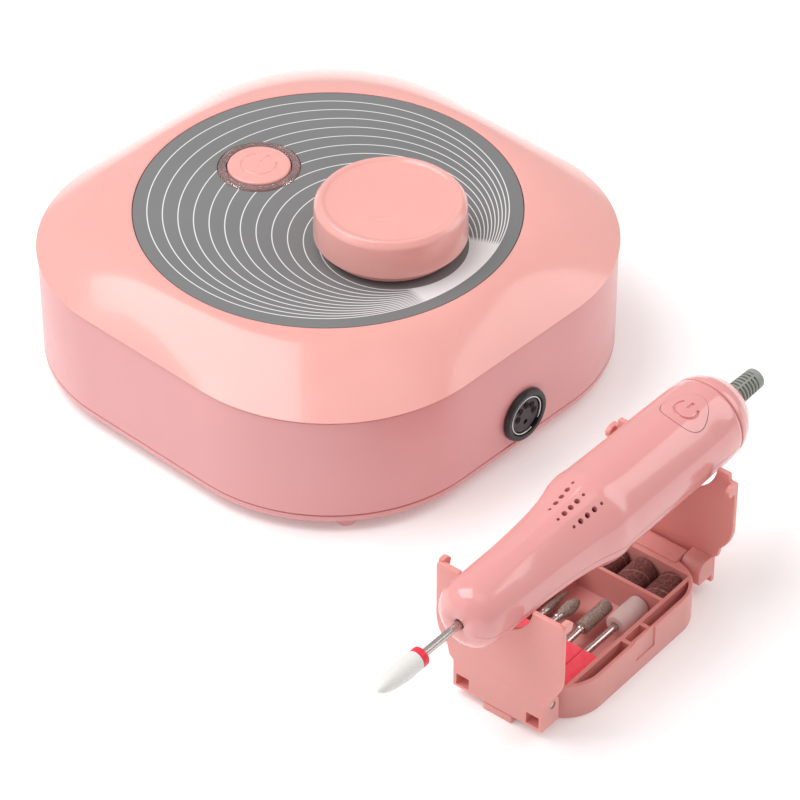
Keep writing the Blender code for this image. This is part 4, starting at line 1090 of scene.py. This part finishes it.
def flap(name, node, at, body, notch, stepped):
    """A flap with its lugs, pockets, cradle notch and latch hooks; +Y is its outer side."""
    reach, bottom, out, thick = 36.3, -7.2, 5.0, 1.6
    shoulder, half, corner = PIN_U - TRAY_L, 22.3, 13.5
    inner = out - thick
    notch_x, notch_z, notch_r = notch
    right = [(16.0, bottom, 0.3), (16.0, shoulder - 0.8, 0.6), (17.6, shoulder + 0.6, 0.8)]
    for k in range(7):
        a = radians(46 * (1 - k / 6))
        right.append((half - corner * (1 - cos(a)), shoulder + corner * (1 - sin(a))))
    if stepped:
        step = reach - 2.6
        right += [(half, step, 0.5), (20.0, step, 0.4), (19.8, reach, 0.5)]
        lug_low, hook_top, hole_end = bottom + 2.65, reach - 2.65, 15.3
    else:
        right += [(half, reach, 1.2)]
        lug_low, hook_top, hole_end = bottom + 0.05, reach + 0.6, 20
    outline = fillet([(0, bottom)] + right + [(15.5, reach)], steps=6)[1:-1]
    edge, steps = in_degrees(acos((notch_z - reach) / notch_r)), 32
    cradle = []
    for k in range(steps + 1):
        x, z = polar(notch_r, -90 + edge - 2 * edge * k / steps)
        cradle.append((notch_x + x, notch_z + z))
    outline = outline + cradle + [(-x, z) for x, z in reversed(outline)]
    upright = at @ shift(0, (out + inner) / 2, 0) @ turn(90, "X")
    made = solid(name, slab([outline], -thick / 2, thick / 2, 0.3), upright, PINK_CASE, body, [node],
                 sharp=40)
    across = at @ Matrix(((0, 0, 1, 0), (1, 0, 0, 0), (0, 1, 0, 0), (0, 0, 0, 1)))
    joined, cuts = [], []
    for side in (-1, 1):
        lug = fillet([(out - 0.05, lug_low, 0.5), (-KNUCKLE_R, lug_low, 0.4), (-KNUCKLE_R, KNUCKLE_R, 2.7),
                      (out - 0.4, KNUCKLE_R)], closed=True, steps=8)
        joined.append((slab([lug], *sorted((side * 9.0, side * 15.95)), 0.2), across))
        hook = fillet([(inner + 0.7, hook_top - 3.6), (inner - 2.4, hook_top - 3.6, 0.8),
                       (inner - 3.2, hook_top - 1.4, 1.0), (inner - 1.6, hook_top, 1.0),
                       (inner + 0.7, hook_top)], closed=True)
        joined.append((slab([hook], *sorted((side * 20.55, side * 22.25)), 0.25), across))
        pocket = side * 12.5
        cuts.append((block((pocket - 2.3, 1.6, -6.2), (pocket + 2.3, out + 2, -2.1), 0.1), at))
    combine(made, joined, sharp=40, operation="UNION")
    cuts.append((rod(PIN_HOLE_R, -hole_end, hole_end, segments=32), at @ turn(90, "Y")))
    combine(made, cuts, sharp=40)
    rounding(made, 0.12)


def flaps():
    flap("flap_plate_front", "front_flap", FRONT_FLAP, "flap_front", (1.4, 37.7, 13.0), stepped=False)
    flap("flap_plate_rear", "rear_flap", REAR_FLAP, "flap_rear", (0.8, 37.9, 14.9), stepped=True)


def lying(u, v, yaw, z=BIT_Z):
    """Frame on a stored bit's axis: +Z runs from the nose to the shank's end."""
    return CASE @ shift(u, v, z) @ turn(yaw, "Z") @ turn(-90, "Y")


def gritty(profile, seed, segments=72, rows=60):
    """Rings of a head whose surface is rough with grit."""
    rings = []
    for i in range(rows + 1):
        t = profile[-1][0] * i / rows
        f, r0, r1 = stretch(profile, t)
        r = r0 + (r1 - r0) * f
        if r < 0.02:
            rings.append([(0, 0, t)])
            continue
        ring = []
        for k in range(segments):
            a = 2 * pi * k / segments
            p = Vector((r * cos(a), r * sin(a), t))
            rough = r + noise.noise(p * 3.2 + Vector((seed, 0, 0))) * 0.07
            ring.append((rough * cos(a), rough * sin(a), t))
        rings.append(ring)
    return rings


def stored_bits():
    """Three bits and the sanding mandrel."""
    for name, v, nose, yaw, head in STORED:
        at = lying(nose, v, yaw)
        end = head[-1][0]
        solid(name.replace("_bit", "_burr"), skin(gritty(head, seed=v)), at, GRIT, "bit_case", [name],
              sharp=60)
        stem = [(0, end - 1), (1.4, end - 1), (1.4, end + 0.7, 0.2), (SHANK_R, end + 1.0), (SHANK_R, 33),
                (0, 33)]
        turned(name.replace("_bit", "_stem"), stem, at, SHANK, "bit_case", (), "steel", segments=40)
    at = lying(15.4, MANDREL_V, 0, MANDREL_Z)
    stem = [(0, 6.2), (SHANK_R, 6.2, 0.1), (SHANK_R, 38, 0.2), (0, 38)]
    turned("mandrel_stem", stem, at, SHANK, "bit_case", ["mandrel_shank"], segments=40)
    drum = [(0, 0), (3.4, 0, 0.9), (3.4, 12, 0.5), (1.35, 12, 0.1), (1.35, 5.9), (0, 5.9)]
    made = turned("mandrel_roller", drum, at, DRUM, "bit_case", ["mandrel_drum"], steps=6)
    combine(made, [(block((-3.6, -0.2, -1), (3.6, 0.2, 5), 0.02), at @ turn(40, "Z"))])


def sanding_bands():
    """Abrasive sleeves, each turned so that its glue line shows in another place."""
    bore, radius, half = 3.7, 4.5, 6
    path = [(bore, -half, 0.2), (radius, -half, 0.3), (radius, half, 0.3), (bore, half, 0.2)]
    for i in (1, 2, 3):
        node = f"sanding_band_{i}"
        at = CASE @ Matrix.Translation(IN_CASE @ middle(node)) @ turn(90, "Y") @ turn(50 * i, "Z")
        turned(f"abrasive_band_{i}", path, at, BAND, "bit_case", [node], segments=72, closed=True)


def foam():
    """Foam blocks with softly rounded edges and slots for the shanks."""
    shared = (MANDREL_V, 1.4, MANDREL_Z)
    stored = ((-0.4, 1.55, BIT_Z), (8.85, 1.75, BIT_Z), (12.7, 1.5, BIT_Z))
    for name, node, v0, v1, slots in (
        ("foam_pad_right", "foam_right", -14.7, MANDREL_V - 0.12, (shared,)),
        ("foam_pad_left", "foam_left", MANDREL_V + 0.12, 14.7, (shared, *stored)),
    ):
        bm = block((-29.2, v0, FLOOR + 0.3), (-11.8, v1, 9.4), 0.5)
        bmesh.ops.subdivide_edges(bm, edges=bm.edges, cuts=10, use_grid_fill=True)
        for vert in bm.verts:
            vert.co.z += 0.12 * noise.noise(vert.co * 0.45)
        made = solid(name, bm, CASE, FOAM, "bit_case", [node], sharp=50)
        combine(made, [(block((-40, v - gap, z - 1.5), (0, v + gap, z + 1.5), 0.02), CASE)
                       for v, gap, z in slots], sharp=50)


# ---- Stage ----
def aim(azimuth, elevation):
    """Direction from the set; azimuth 0 is the front, and it grows to the right."""
    azimuth, elevation = radians(azimuth), radians(elevation)
    return Vector((sin(azimuth) * cos(elevation), -cos(azimuth) * cos(elevation),
                   sin(elevation)))


def camera():
    """Long lens from the front left, above."""
    back = aim(-47, 39.6)
    distance, target = 1158, Vector((-53.4, -80.0, PANEL_Z))
    data = bpy.data.cameras.new("camera")
    data.lens = 180
    data.clip_start = 0.01
    data.clip_end = 50
    obj = add("camera", data)
    obj.location = UNIT @ (target + back * distance)
    obj.rotation_euler = back.to_track_quat("Z", "Y").to_euler()
    bpy.context.scene.camera = obj


def softbox(name, towards, distance, width, height, strength, colour=(1, 1, 1)):
    """A rectangular lamp that faces the set from a direction given as (azimuth, elevation)."""
    direction = aim(*towards)
    data = bpy.data.lights.new(name, "AREA")
    data.shape = "RECTANGLE"
    data.size = width
    data.size_y = height
    data.energy = strength * width * height * pi
    data.color = colour
    obj = add(name, data)
    obj.location = Vector((0, 0, 0.04)) + direction * distance
    obj.rotation_euler = direction.to_track_quat("Z", "Y").to_euler()


def stage():
    """White floor, white surroundings and four softboxes."""
    bpy.context.scene.view_settings.view_transform = "Standard"
    bm = bmesh.new()
    bmesh.ops.create_grid(bm, x_segments=2, y_segments=2, size=4)
    mesh = bpy.data.meshes.new("floor")
    bm.to_mesh(mesh)
    bm.free()
    floor = add("floor", mesh)
    n = Nodes("floor")
    n.tone(3, 2, (0.95, 0.95, 0.95), (0.96, 0.96, 0.96))
    n.put("Roughness", 0.9)
    n.put("Emission Color", (1.0, 1.0, 1.0))
    n.put("Emission Strength", 0.14)
    mesh.materials.append(n.material)
    world = bpy.data.worlds.new("world")
    world.use_nodes = True
    surround = world.node_tree.nodes["Background"].inputs
    surround["Color"].default_value = (1, 0.99, 0.98, 1)
    surround["Strength"].default_value = 0.5
    bpy.context.scene.world = world
    softbox("left_box", (-120, 25), 1.3, 1.2, 1.0, 0.5)
    softbox("top_box", (-145, 60), 1.4, 1.1, 1.1, 3.8)
    softbox("right_box", (60, 30), 1.5, 0.8, 1.0, 2.1, (1, 0.97, 0.95))
    softbox("fill_box", (0, 75), 1.5, 0.9, 0.9, 0.6)


for make in (
    plain_nodes, cover, wall, base, feet, panel, unit_button, knob, socket, inlet, body_shells, shade_behind_vents,
    tool_button, end_cap, cord_sleeve, fitted_bit, tray, hinge_pins, flaps, stored_bits, sanding_bands, foam,
    camera, stage,
):
    make()
